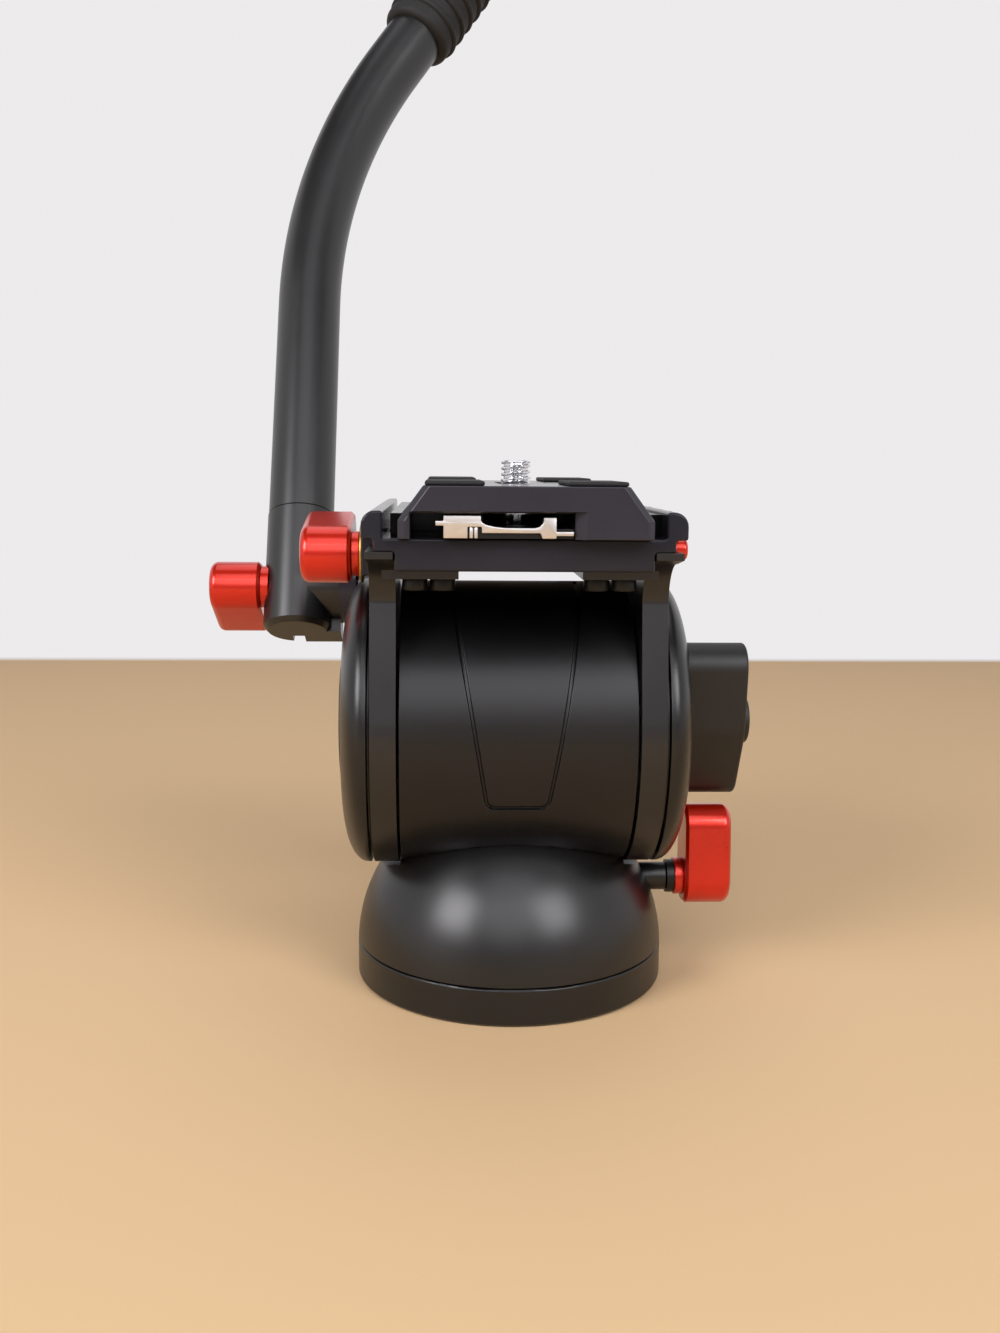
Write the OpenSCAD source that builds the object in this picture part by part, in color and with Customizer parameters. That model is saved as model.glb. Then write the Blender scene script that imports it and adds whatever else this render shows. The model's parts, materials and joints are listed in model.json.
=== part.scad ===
// Fluid video head: a round base, a panning dome that carries a tilt drum,
// a yoke that tilts about the drum, a dovetail platform with a sliding camera
// plate, and a pan handle. Millimetres. X is right, Y is back, Z is up.
// The origin is the mouth of the tripod thread, in the middle of the base.

/* [Base] */
// Radius of the round base
base_r = 35; // [34:0.5:40]
// Height of the base disc
base_h = 8.4; // [7:0.1:12]
// Edge chamfer of the base disc
base_edge = 0.7; // [0.3:0.1:1.5]
// Radius of the tapped bore for the tripod stud
stud_bore_r = 4; // [3:0.05:4.6]
// Radius of the threaded insert's body
insert_r = 6.5; // [6:0.1:7.5]
// Width of the insert's flange beyond its body
insert_lip = 3; // [2:0.1:3.5]
// Thickness of the insert's flange
insert_flange_t = 2; // [1.4:0.1:2.4]
// Radius of the spindle screws
spindle_screw_r = 2; // [1.5:0.1:2.4]

/* [Pan bearing] */
// Radius of the spindle's bearing post
spindle_r = 9; // [8.6:0.1:10]
// Thickness of the spindle's flange
spindle_flange_t = 3.2; // [2.8:0.1:4]
// Width of the spindle's flange beyond the insert's flange
spindle_lip = 7.5; // [6.5:0.1:8.5]
// Thickness of the thrust washer
thrust_t = 2; // [1.2:0.1:2.6]
// Wall of the pan bush
pan_bush_wall = 2; // [1.5:0.1:2.6]
// Thickness of the web that carries the pan bush
web_t = 4.2; // [3:0.1:6]
// Thickness of the pan drag disc
drag_t = 1.2; // [0.8:0.1:2]
// Width of the brake collar beyond the spindle's post
collar_lip = 3; // [2.4:0.1:4]
// Height of the brake collar
collar_h = 8; // [7:0.1:9]
// Room between the brake collar and the drum above it
drum_rise = 1.85; // [1:0.05:4]

/* [Dome] */
// Depth of the dome's centre below the top of the base disc
dome_sink = 1.4; // [0:0.1:3]
// Open seam between the base disc and the dome
seam_gap = 0.35; // [0.2:0.05:0.6]
// Width of the dome's lower rim
rim_t = 2.2; // [1.5:0.1:3]
// Half spacing of the drum bolts across the head
bolt_x = 19; // [18:0.5:20]
// Half spacing of the drum bolts along the head
bolt_y = 9; // [8.4:0.1:10]
// Radius of the drum bolts
bolt_r = 2; // [1.6:0.1:2.4]

/* [Drum] */
// Radius of the tilt drum
drum_r = 31.5; // [30:0.5:33]
// Width of the tilt drum
drum_w = 49.4; // [48:0.2:54]
// Wall of the tilt drum
drum_wall = 5; // [4:0.1:6]
// Width of the U-shaped groove
groove_w = 0.7; // [0.4:0.05:1.2]
// Depth of the U-shaped groove
groove_depth = 0.55; // [0.3:0.05:1]
// Half width of the U at its foot
groove_half = 7; // [5:0.1:9]
// Depth of the foot of the U below the tilt axis
groove_drop = 13.8; // [10:0.1:18]
// Widening of the U for each millimetre of height
groove_flare = 0.162; // [0.05:0.001:0.25]
// Corner radius of the U
groove_corner = 2.5; // [1.5:0.1:4]
// Thickness of the bearing plates
end_plate_t = 4; // [3:0.1:5]
// Wall of the tilt bushes
tilt_bush_wall = 3; // [2:0.1:4]
// Radius of the tilt shafts
shaft_r = 9; // [8:0.1:10]
// Half distance between the flats on the shaft ends
shaft_flat = 7; // [6:0.1:7.6]

/* [Arms and caps] */
// Running gap between the drum and each arm
side_gap = 0.5; // [0.3:0.05:1]
// Thickness of each arm
arm_t = 5.4; // [4.5:0.1:7]
// Radius of the round foot of each arm
arm_r = 32; // [31:0.1:33]
// Half width of each arm at its neck
neck_half = 27.5; // [25:0.1:29]
// Radius of the hollow flare below the platform
flare_r = 9; // [7:0.1:10]
// Thickness of the arm's front and back tip
flare_tip = 1.4; // [0.8:0.1:2]
// Thickness of the arm's inner flange
flange_t = 2.6; // [2:0.1:3]
// Reach of the flange inwards from the arm
flange_reach = 12.7; // [11.5:0.1:16]
// Depth of each side cap
cap_depth = 6.8; // [6:0.1:10]
// Radius of the flat face of each side cap
cap_flat_r = 20; // [17:0.5:24]
// Width of the shadow gap between arm and cap
cap_gap = 0.7; // [0.4:0.1:1.6]
// Radius of the disc on the left cap
cap_disc_r = 15; // [12:0.1:16.5]

/* [Platform] */
// Height of the platform's underside above the tilt axis
bed_rise = 37.1; // [36.5:0.1:40]
// Length of the platform
bed_len = 88; // [84:0.5:100]
// Depth of the side rebates that sit on the arms
rebate_h = 3.7; // [3.3:0.1:4]
// Thickness of the floor of the channel
floor_t = 6.3; // [6.2:0.1:8]
// Height of the side rails above the floor
rail_h = 5.2; // [4.6:0.1:7]
// Thickness of the side rails
rail_t = 4.1; // [3:0.1:5]
// Corner radius of the rails
rail_corner = 2.8; // [1:0.1:2.9]
// Depth of the waist below the rails
waist_in = 2.3; // [0.5:0.1:3]
// Radius of the platform screws
bed_screw_r = 1.5; // [1:0.1:1.6]

/* [Clamp] */
// Height of the jaws above the plate's foot
jaw_bite = 1; // [0.7:0.1:1.4]
// Foot width of the fixed jaw
jaw_foot = 2.88; // [2.6:0.02:3.6]
// Distance of the jaws from the ends of the platform
jaw_inset = 7; // [2:0.1:8]
// Opening travel of the clamping jaw
jaw_travel = 0.8; // [0.4:0.05:0.9]
// Place of the clamp screw along the platform
clamp_y = -12; // [-14:0.5:-10]
// Radius of the clamp screw
clamp_screw_r = 1.75; // [1.5:0.05:1.8]
// Half length of the jaw's tongue
tongue_half = 7.5; // [6:0.1:8]
// Thickness of the jaw's tongue
tongue_t = 4.3; // [3.5:0.1:5]
// Radius of the clamp washer
clamp_washer_r = 6.2; // [5:0.1:6.4]
// Thickness of the clamp washer
clamp_washer_t = 0.6; // [0.4:0.1:1]

/* [Release catch] */
// Place of the release button along the platform
button_y = -32; // [-32.6:0.1:-31.6]
// Radius of the release button
button_r = 2.2; // [1.8:0.05:2.25]
// Reach of the button beyond the rail
button_reach = 1.9; // [1.5:0.1:4]
// Travel of the release button
button_travel = 2; // [1:0.1:2.1]
// Left end of the safety catch
catch_left = -15.6; // [-17:0.1:-14]
// Right end of the safety catch
catch_right = 8.9; // [6:0.1:9]
// Height of the catch's tabs above the floor
catch_tab_h = 4.5; // [3:0.1:4.6]
// Thickness of the catch's sheet
catch_t = 1.8; // [1:0.1:2]

/* [Camera plate] */
// Length of the camera plate
plate_len = 90; // [86:0.5:100]
// Width of the plate at its foot
plate_w = 48.4; // [48:0.1:52]
// Width of the plate's top face
plate_top_w = 38.8; // [36:0.1:42]
// Thickness of the plate
plate_t = 9.9; // [9.2:0.1:12]
// Upright edge of the plate's foot
plate_lip = 3.4; // [1:0.1:3.6]
// Place of the plate's middle along the platform
plate_shift = -3.6; // [-5:0.1:0]
// Forward travel of the plate
plate_forward = 6; // [3:0.5:8]
// Thickness of the plate's web over the hollow underside
plate_web = 5.1; // [4.4:0.1:5.2]
// Left wall of the hollow underside
hollow_left = -21.9; // [-22:0.1:-20]
// Right wall of the hollow underside
hollow_right = 9.2; // [9.1:0.1:11]
// Height of the rubber pads
pad_h = 0.9; // [0.6:0.1:2]
// Width of the rubber pads
pad_w = 11.2; // [8:0.1:12]
// Length of the rubber pads
pad_len = 25; // [15:0.5:30]
// Thread radius of the camera screw
camera_screw_r = 3.175; // [2.8:0.025:3.3]
// Place of the camera screw along the platform
camera_y = -9; // [-9.5:0.1:-6]
// Reach of the camera screw above the plate
camera_screw_h = 4.9; // [4:0.1:7]
// Forward travel of the camera screw in its slot
slot_front = 5; // [3:0.5:6]
// Backward travel of the camera screw in its slot
slot_back = 14; // [8:0.5:18]

/* [Levers and knobs] */
// Radius of a lever at its hub
lever_hub_r = 6.2; // [5.5:0.1:6.3]
// Radius of a lever at its tip
lever_tip_r = 5.2; // [4:0.1:5.5]
// Distance from hub to tip of a lever
lever_reach = 12; // [10:0.1:12.2]
// Thickness of a lever
lever_t = 10.7; // [9:0.1:13]
// Thickness of the handle's lever
handle_lever_t = 12.4; // [9:0.1:14]
// Radius of the soft outer edge of a lever
lever_edge = 2; // [1:0.1:3]
// Length of the tilt lock's bar
bar_len = 37.4; // [30:0.1:38]
// Radius of the bar's ends
bar_end_r = 5.6; // [4:0.1:6]
// Radius of the bar's hub
bar_hub_r = 8.2; // [7:0.1:9.5]
// Thickness of the bar
bar_t = 13.9; // [10:0.1:16]
// Radius of the round boss on the bar
bar_boss_r = 5.5; // [4:0.1:7]
// Height of the round boss on the bar
bar_boss_h = 1.6; // [0.5:0.1:3]
// Turn of the bar about its screw
bar_turn = 17; // [0:1:45]
// Radius of the tilt lock's stud
stud_r = 4; // [3:0.1:4.2]
// Radius of the pan lock's screw
pan_screw_r = 2.5; // [2:0.1:2.6]
// Length of the boss between the dome and the pan lock
boss_reach = 4.5; // [3:0.1:6]
// Upward slope of the clamp lever, in degrees
clamp_lever_rise = 16; // [0:1:30]
// Downward slope of the handle lever, in degrees
handle_lever_drop = 36; // [0:1:40]

/* [Handle] */
// Place of the handle's pivot behind the tilt axis
pivot_y = 35; // [33:0.5:38]
// Height of the handle's pivot above the tilt axis
pivot_rise = 26.7; // [22:0.1:28]
// Radius of the toothed rosettes
rosette_r = 9; // [8:0.1:9.6]
// Thickness of the arm's rosette
arm_rosette_t = 5.5; // [4:0.1:7]
// Thickness of the handle's rosette
handle_rosette_t = 4.5; // [3:0.1:6]
// Height of the rosette teeth
tooth_h = 0.5; // [0.3:0.05:0.8]
// Distance from the handle's rosette to the middle of the socket
socket_reach = 10.7; // [9.5:0.1:14]
// Step from the tube out to the socket
socket_step = 0.15; // [0.05:0.05:1]
// Radius of the handle's bolt
handle_bolt_r = 3; // [2.5:0.1:3.5]
// Backward lean of the handle, in degrees
lean = 27; // [10:1:45]
// Length of the socket below its pivot
socket_low = 11.8; // [10:0.1:14]
// Length of the socket above its pivot
socket_high = 19; // [16:0.5:30]
// Radius of the handle's tube
tube_r = 8.2; // [7.5:0.1:8.5]
// Wall of the handle's tube
tube_wall = 1.5; // [1:0.1:2]
// Length of the straight tube below its bend
tube_low = 62.5; // [40:0.5:80]
// Radius of the tube's bend
bend_r = 160; // [100:5:220]
// Angle of the tube's bend, in degrees
bend_angle = 30; // [15:1:40]
// Length of the straight tube above its bend
tube_high = 128; // [124:1:160]
// Length of the grip
grip_len = 116; // [90:1:120]
// Radius of the grip
grip_r = 11; // [9.5:0.1:13]
// Height of the grip's ribs
grip_rib_h = 0.8; // [0.3:0.1:1]
// Spacing of the grip's ribs
grip_pitch = 5; // [3.5:0.5:8]

/* [Hidden] */
$fn = 96;
hull_fn = 28;
// Gaps: running fits, seats, faces that pass each other and room around pieces.
// Overlaps: where two shapes join into one, and where a cut runs out of its piece
run = 0.05;
seat = 0.03;
slip = 0.1;
loose = 0.3;
pass = 0.4;
room = 0.6;
wide_room = 1.2;
join = 0.5;
cut = 1;

// Finishes
satin_black = "#1b1b1d";
gloss_black = "#101012";
anodised_grey = "#3d3b40";
anodised_red = "#c32d14";
steel = "#b4b6ba";
brass = "#b8934a";
rubber_black = "#18181a";
plastic_white = "#d8d6cf";

// Levels of the base and the pan bearing
insert_flange_r = insert_r + insert_lip;
spindle_flange_r = insert_flange_r + spindle_lip;
spindle_ring_r = insert_flange_r + spindle_lip / 2;
spindle_screws_n = 4;
spindle_screw_sink = 0.2;
spanner_hole_r = 1.2;
spanner_hole_depth = 2.5;
flange_top = base_h + spindle_flange_t;
web_z = flange_top + room;
web_top = web_z + web_t;
collar_z = web_top + drag_t + run;
collar_top = collar_z + collar_h;
collar_r = spindle_r + collar_lip;
spindle_thread_r = spindle_r - 1;
pan_lock_z = collar_z + collar_h / 2;
pan_bush_r = spindle_r + run + pan_bush_wall;
recess_r = base_r - rim_t;

// Dome and drum
tilt_z = collar_top + drum_rise + drum_r;
dome_z = base_h - dome_sink;
dome_side = sqrt(pow(base_r, 2) - pow(pan_lock_z - dome_z, 2));
bolt_head_r = bolt_r + 1.6;
bolt_head_t = 2 * bolt_r;
bolt_head_z = web_z + bolt_head_t + 1.8;
drum_end = drum_w / 2;
drum_in_r = drum_r - drum_wall;
plate_seat_r = drum_in_r + 1.5;
bolt_top = tilt_z - sqrt(pow(plate_seat_r + loose, 2) - pow(bolt_y - bolt_r, 2));
plate_in = drum_end - end_plate_t;
drum_web = 3;
tilt_bush_r = shaft_r + run + tilt_bush_wall;
brake_recess = 1;
brake_in_r = tilt_bush_r + 2.5;
bush_flange_t = 1.2;
vane_t = 1.2;
vane_step = (plate_in - bush_flange_t - drum_web) / 7;
vane_r = drum_in_r - 2;
rotor_vanes = [2, 4, 6];
stator_vanes = [3, 5];
rotor_len = 6.6 * vane_step;
drag_hub_r = shaft_r + 2;
spring_r = shaft_r + 6;
spring_wire_r = 1.4;
spring_turns = 4;

// Arms and caps
arm_in = drum_end + side_gap;
arm_out = arm_in + arm_t;
arm_relief = arm_r + 1;
cap_r = arm_r;
cap_out = arm_out + cap_depth;
cap_neck_r = cap_r - 1.6;
cap_wall = 2.4;
cap_disc_t = 1.3;
cap_disc_sink = 0.6;
shaft_in = drum_web + 3;
shaft_bolt_r = 3;
shaft_washer_t = 1.2;
shaft_bolt_end = cap_out - cap_wall - pass;
cap_rim_t = 0.9;

// Platform
bed_z = tilt_z + bed_rise;
seat_z = bed_z + rebate_h;
floor_z = bed_z + floor_t;
rail_z = floor_z + rail_h;
bed_half = bed_len / 2;
foot_half = plate_w / 2;
rail_in = foot_half + slip + jaw_foot;
rail_half = rail_in + rail_t;
lower_half = arm_in - loose;
waist_half = rail_half - waist_in;
waist_top = floor_z - 0.2;
flange_end = arm_in - flange_reach;
bed_screw_head_r = bed_screw_r + 1.1;
bed_screw_head_t = 2 * bed_screw_r - 0.5;
bed_screw_y = neck_half - 0.5;
bed_screw_xs = [flange_end + bed_screw_head_r + 0.6, flange_end + 3 * bed_screw_head_r + 1];
bed_screw_depth = 4.4;
hex_inset = 0.2;
hex_depth = 1.2;
flange_half = neck_half + 3.5;

// Clamp
jaw_half = bed_half - jaw_inset;
clamp_face = max(arm_out, rail_half) + 1.3;
clamp_z = floor_z - 5.1;
clamp_jaw_foot = 1.6;
clamp_jaw_out = foot_half + slip + clamp_jaw_foot;
tongue_drop = 7.6;
pocket_out = clamp_jaw_out + jaw_travel + 0.4;
pocket_in = clamp_jaw_out - tongue_t - loose;
pocket_half = tongue_half + loose;
pocket_z = floor_z - tongue_drop - loose;
clamp_boss_wall = 1.6;
clamp_boss_half = pocket_half + clamp_boss_wall;
clamp_boss_in = pocket_in - clamp_boss_wall;
clamp_boss_z = pocket_z - 1.2;
jaw_screw_r = 1.25;
jaw_screw_z = floor_z + 2.4;
jaw_screw_ys = [-26, 0, 26];
jaw_screw_head = 1.8;
jaw_screw_depth = 1.6;
jaw_hex_depth = 0.8;

// Release catch
button_z = floor_z - 2.6;
bar_half = 1.5;
channel_half = bar_half + 0.2;
bore_in = rail_in - 4.7;
bar_right = bore_in + button_travel + 1;
bar_left = -4.5;
channel_left = bar_left - button_travel - 2.9;
catch_z = floor_z + 0.2;
catch_front = plate_shift - plate_len / 2 + 2.1;
catch_back = button_y + bar_half;
catch_tab_t = 1.6;
catch_tab_w = 7;
catch_hook_w = 2.4;
catch_strip = 3.4;
catch_scoop_r = 1.6;
catch_hook_drop = 0.4;
catch_tab_right = catch_left + catch_tab_w;
catch_hook_right = catch_right - catch_strip;
catch_hook_left = catch_hook_right - catch_hook_w;
catch_sheet_z = catch_z + catch_t;

// Camera plate
plate_z = floor_z + slip;
plate_top = plate_z + plate_t;
jaw_top = plate_z + plate_lip + jaw_bite;
plate_front = plate_shift - plate_len / 2;
plate_back = plate_shift + plate_len / 2;
top_half = plate_top_w / 2;
hollow_z = plate_top - plate_web;
catch_room = 8;
hollow_back = catch_back + plate_forward + catch_room;
head_r = 7;
head_z = plate_z + 0.6;
head_t = hollow_z - head_z - 1;
head_edge = 0.5;
camera_thread_depth = 0.7;
camera_thread_z = plate_top + 0.2;
slider_half = camera_screw_r + 0.4;
slot_half = slider_half + slip;
slider_len = 5;
slider_flange = 6.4;
slider_z = head_z + head_t + run;
slider_top = plate_top - 0.5;
slot_front_y = camera_y - slot_front - slider_len - loose;
slot_back_y = camera_y + slot_back + slider_len + loose;
head_channel_half = head_r + 1;
head_channel_back = camera_y + slot_back + head_r + 1;
pad_inset = 1;
pad_edge = 0.3;

// Levers and knobs
lever_foot = 0.6;
pan_ring_t = 1.7;
boss_r = pan_screw_r + 0.7;
pan_ring_r = boss_r + 0.6;
pan_collar_r = lever_hub_r - 1.95;
boss_in = dome_side - 8;
boss_out = dome_side + boss_reach;
pan_lever_in = max(boss_out + pan_ring_t + 2.2, cap_out + 0.5);
shoe_r = 4;
shoe_in = collar_r + slip;
shoe_len = 6;
tilt_washer_t = 0.9;
bar_in = cap_out + slip + tilt_washer_t;
clamp_collar_t = 1.9;
clamp_lever_in = clamp_face + clamp_washer_t + clamp_collar_t;
clamp_collar_r = lever_hub_r - 1.4;

// Handle
rosette_gap = 0.2;
rosette_teeth_n = 24;
rosette_in_r = handle_bolt_r + 1.5;
tooth_fill = 0.96;
pivot_z = tilt_z + pivot_rise;
lug_r = rosette_r + 1;
handle_rosette_in = arm_out + arm_rosette_t + rosette_gap;
socket_face = handle_rosette_in + handle_rosette_t;
socket_x = socket_face + socket_reach;
socket_r = tube_r + socket_step;
socket_edge = 1.2;
socket_seat = socket_r - 1.4;
socket_out = socket_x + socket_seat;
ear_back = socket_r - 0.7;
slit_half = 1.5;
slit_depth = 5;
slit_len = 5;
handle_collar_r = lever_hub_r - 1;
handle_collar_t = 2.1;
handle_lever_in = socket_out + slip + handle_collar_t;
spigot_r = tube_r - tube_wall - run;
spigot_len = 20;
end_plug_len = 10;
bend_z = socket_high + tube_low;
grip_start = tube_high - grip_len;
grip_core_r = grip_r - grip_rib_h;
grip_edge = (grip_core_r - tube_r - seat) * 0.7;
grip_plain = 5;
grip_steps_n = floor((grip_len - 2 * grip_plain) / grip_pitch);
rib_half = 1;
end_cap_t = 5;

// Points along a round corner
function arc(x, y, r, from, to, n = 6) =
  [for (i = [0:n]) let (a = from + (to - from) * i / n) [x + r * cos(a), y + r * sin(a)]];

// The points of a half outline and their mirror image across the vertical
function both_sides(half) =
  concat(half, [for (i = [len(half) - 1:-1:0]) [-half[i][0], half[i][1]]]);

// Half width of the plate's slanted flank at a height
function flank(z) =
  foot_half - (foot_half - top_half) * max(0, z - plate_z - plate_lip) / (plate_t - plate_lip);

// Round bar along X
module bar_x(from, to, r) {
  translate([from, 0, 0])
    rotate([0, 90, 0])
      cylinder(r = r, h = to - from);
}

// Round tube along X
module tube_x(from, to, inner, outer) {
  difference() {
    bar_x(from, to, outer);
    bar_x(from - cut, to + cut, inner);
  }
}

// Turned shape about X: the outline is radius across and X upwards
module turned_x() {
  rotate([0, 90, 0])
    rotate_extrude()
      children();
}

// Outline across X and Z, drawn out along Y
module along_y(from, to) {
  translate([0, to, 0])
    rotate([90, 0, 0])
      linear_extrude(to - from)
        children();
}

// Outline across Y and Z, drawn out along X
module along_x(from, to) {
  translate([from, 0, 0])
    rotate([90, 0, 90])
      linear_extrude(to - from)
        children();
}

// Box between two corners
module box(low, high) {
  translate(low)
    cube(high - low);
}

module at_tilt() {
  translate([0, 0, tilt_z])
    children();
}

module at_pan_lock() {
  translate([0, 0, pan_lock_z])
    children();
}

module at_clamp() {
  translate([0, clamp_y, clamp_z])
    children();
}

module at_pivot() {
  translate([0, pivot_y, pivot_z])
    children();
}

// The handle's own frame: the pivot is the origin and Z runs up the tube
module at_handle() {
  translate([-socket_x, pivot_y, pivot_z])
    rotate([-lean, 0, 0])
      children();
}

// The end of the tube's bend, with Z along the upper tube
module at_bend_end() {
  at_handle()
    translate([bend_r * (1 - cos(bend_angle)), 0, bend_z + bend_r * sin(bend_angle)])
      rotate([0, bend_angle, 0])
        children();
}

module round_spindle_screws() {
  for (i = [0:spindle_screws_n - 1])
    rotate(45 + i * 360 / spindle_screws_n)
      translate([spindle_ring_r, 0, 0])
        children();
}

module round_drum_bolts() {
  for (x = [-bolt_x, bolt_x], y = [-bolt_y, bolt_y])
    translate([x, y, 0])
      children();
}

module round_bed_screws() {
  for (side = [-1, 1], x = bed_screw_xs, y = [-bed_screw_y, bed_screw_y])
    translate([side * x, y, 0])
      children();
}

// Soft-edged disc along X, from 0 outwards
module soft_disc(r, t) {
  turned_x()
    polygon(concat(
      [[0, 0], [r - lever_foot, 0], [r, lever_foot]],
      arc(r - lever_edge, t - lever_edge, lever_edge, 0, 90),
      [[0, t]]
    ));
}

// Lever along +Z on a hub about X
module lever(t) {
  hull($fn = hull_fn) {
    soft_disc(lever_hub_r, t);
    translate([0, 0, lever_reach])
      soft_disc(lever_tip_r, t);
  }
}

// Coil spring along X, as one swept wire
module coil_x(from, to, coil_r, wire_r, turns) {
  steps = 12;
  sides = 6;
  rings = turns * steps;
  points = [
    for (i = [0:rings], j = [0:sides - 1])
      let (
        turn = 360 * i / steps,
        swing = 360 * j / sides,
        r = coil_r + wire_r * cos(swing)
      )
      [from + (to - from) * i / rings + wire_r * sin(swing), r * cos(turn), r * sin(turn)]
  ];
  walls = [
    for (i = [0:rings - 1], j = [0:sides - 1], half = [0, 1])
      let (a = i * sides + j, b = i * sides + (j + 1) % sides)
      half == 0 ? [a, b, a + sides] : [b, b + sides, a + sides]
  ];
  first = [for (j = [1:sides - 2]) [0, j + 1, j]];
  last = [for (j = [1:sides - 2]) [rings * sides, rings * sides + j, rings * sides + j + 1]];
  polyhedron(points, concat(walls, first, last));
}

module base_plate() {
  color(satin_black)
    difference() {
      rotate_extrude()
        polygon([
          [0, 0], [base_r - base_edge, 0], [base_r, base_edge],
          [base_r, base_h - base_edge / 2], [base_r - base_edge / 2, base_h], [0, base_h]
        ]);
      translate([0, 0, -cut])
        cylinder(r = insert_r + seat, h = base_h + 2 * cut);
      round_spindle_screws() {
        translate([0, 0, -cut])
          cylinder(r = spindle_screw_r + run, h = base_h + 2 * cut);
        translate([0, 0, -run])
          cylinder(
            r1 = 2 * spindle_screw_r + run, r2 = spindle_screw_r + run,
            h = spindle_screw_r + spindle_screw_sink
          );
      }
    }
}

module thread_insert() {
  color(steel)
    difference() {
      union() {
        cylinder(r = insert_r, h = base_h);
        translate([0, 0, base_h])
          cylinder(r = insert_flange_r, h = insert_flange_t);
      }
      translate([0, 0, -cut])
        cylinder(r = stud_bore_r, h = base_h + insert_flange_t + 2 * cut);
    }
}

module pan_spindle() {
  color(steel)
    difference() {
      union() {
        translate([0, 0, base_h])
          cylinder(r = spindle_flange_r, h = spindle_flange_t);
        translate([0, 0, base_h])
          cylinder(r = spindle_r, h = collar_z - base_h);
        translate([0, 0, base_h])
          cylinder(r = spindle_thread_r, h = collar_top - base_h);
      }
      translate([0, 0, base_h - cut])
        cylinder(r = insert_flange_r + run, h = insert_flange_t + run + cut);
      translate([0, 0, base_h])
        cylinder(r = stud_bore_r + 1, h = spindle_flange_t + web_t);
      round_spindle_screws()
        translate([0, 0, base_h - cut])
          cylinder(r = spindle_screw_r + run, h = spindle_flange_t + 2 * cut);
    }
}

module spindle_screws() {
  color(steel)
    round_spindle_screws() {
      translate([0, 0, spindle_screw_sink])
        cylinder(
          r1 = 2 * spindle_screw_r - spindle_screw_sink, r2 = spindle_screw_r,
          h = spindle_screw_r - spindle_screw_sink
        );
      translate([0, 0, spindle_screw_r])
        cylinder(r = spindle_screw_r, h = flange_top - spindle_screw_r);
    }
}

module pan_collar() {
  color(steel)
    difference() {
      translate([0, 0, collar_z])
        cylinder(r = collar_r, h = collar_h);
      translate([0, 0, collar_z - cut])
        cylinder(r = spindle_thread_r + seat, h = collar_h + 2 * cut);
      for (side = [-1, 1])
        translate([side * (collar_r + spindle_thread_r) / 2, 0, collar_top - spanner_hole_depth])
          cylinder(r = spanner_hole_r, h = spanner_hole_depth + cut);
    }
}

module pan_dome() {
  color(satin_black)
    difference() {
      translate([0, 0, dome_z])
        sphere(r = base_r);
      // Everything below the open seam
      translate([0, 0, dome_z - base_r - cut])
        cylinder(r = base_r + cut, h = base_h + seam_gap - dome_z + base_r + cut);
      // Room for the washer, the spindle, its bush and its collar
      translate([0, 0, base_h])
        cylinder(r = recess_r, h = thrust_t);
      translate([0, 0, base_h])
        cylinder(r = spindle_flange_r + room, h = web_z - base_h);
      translate([0, 0, base_h])
        cylinder(r = pan_bush_r + seat, h = tilt_z - base_h);
      translate([0, 0, web_top])
        cylinder(r = collar_r + wide_room, h = tilt_z - web_top);
      // Saddle for the drum, and room for the turning arms
      at_tilt()
        bar_x(-drum_end - side_gap / 2, drum_end + side_gap / 2, drum_r + seat);
      at_tilt()
        for (side = [-1, 1])
          mirror([side < 0 ? 1 : 0, 0, 0])
            bar_x(drum_end + side_gap / 2, base_r + cut, arm_relief);
      // The pan lock's bore
      at_pan_lock()
        bar_x(0, shoe_in + shoe_len + 2 * slip, shoe_r + run);
      at_pan_lock()
        bar_x(0, base_r, pan_screw_r + run);
      at_pan_lock()
        bar_x(boss_in, base_r + cut, boss_r + seat);
      round_drum_bolts() {
        translate([0, 0, base_h])
          cylinder(r = bolt_head_r + 2 * slip, h = bolt_head_z - base_h);
        translate([0, 0, base_h])
          cylinder(r = bolt_r + run, h = tilt_z - base_h);
      }
    }
}

module pan_thrust_washer() {
  color(plastic_white)
    difference() {
      translate([0, 0, base_h + run])
        cylinder(r = recess_r - loose, h = thrust_t - run);
      translate([0, 0, base_h - cut])
        cylinder(r = spindle_flange_r + wide_room, h = thrust_t + 2 * cut);
    }
}

module pan_bush() {
  color(brass)
    difference() {
      translate([0, 0, web_z])
        cylinder(r = pan_bush_r, h = web_t);
      translate([0, 0, web_z - cut])
        cylinder(r = spindle_r + run, h = web_t + 2 * cut);
    }
}

module pan_drag_disc() {
  color(plastic_white)
    difference() {
      translate([0, 0, web_top])
        cylinder(r = collar_r + room, h = drag_t);
      translate([0, 0, web_top - cut])
        cylinder(r = spindle_r + run, h = drag_t + 2 * cut);
    }
}

module pan_brake_shoe() {
  color(brass)
    difference() {
      at_pan_lock()
        bar_x(collar_r / 2, shoe_in + shoe_len, shoe_r);
      cylinder(r = shoe_in, h = tilt_z);
    }
}

module pan_lock_boss() {
  color(satin_black)
    at_pan_lock()
      tube_x(boss_in, boss_out, pan_screw_r + run, boss_r);
}

module drum_bolts() {
  color(steel)
    round_drum_bolts() {
      translate([0, 0, bolt_head_z - bolt_head_t])
        cylinder(r = bolt_head_r, h = bolt_head_t);
      translate([0, 0, bolt_head_z])
        cylinder(r = bolt_r, h = bolt_top - bolt_head_z);
    }
}

// Outline of the U on the front of the drum, across X and Z
module groove_outline(inset) {
  foot = -groove_drop + inset;
  half = groove_half - inset;
  corner = groove_corner - inset;
  polygon(both_sides(concat(
    arc(half - corner, foot + corner, corner, -90, 0),
    [[half + groove_flare * (drum_r - foot), drum_r]]
  )));
}

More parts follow.
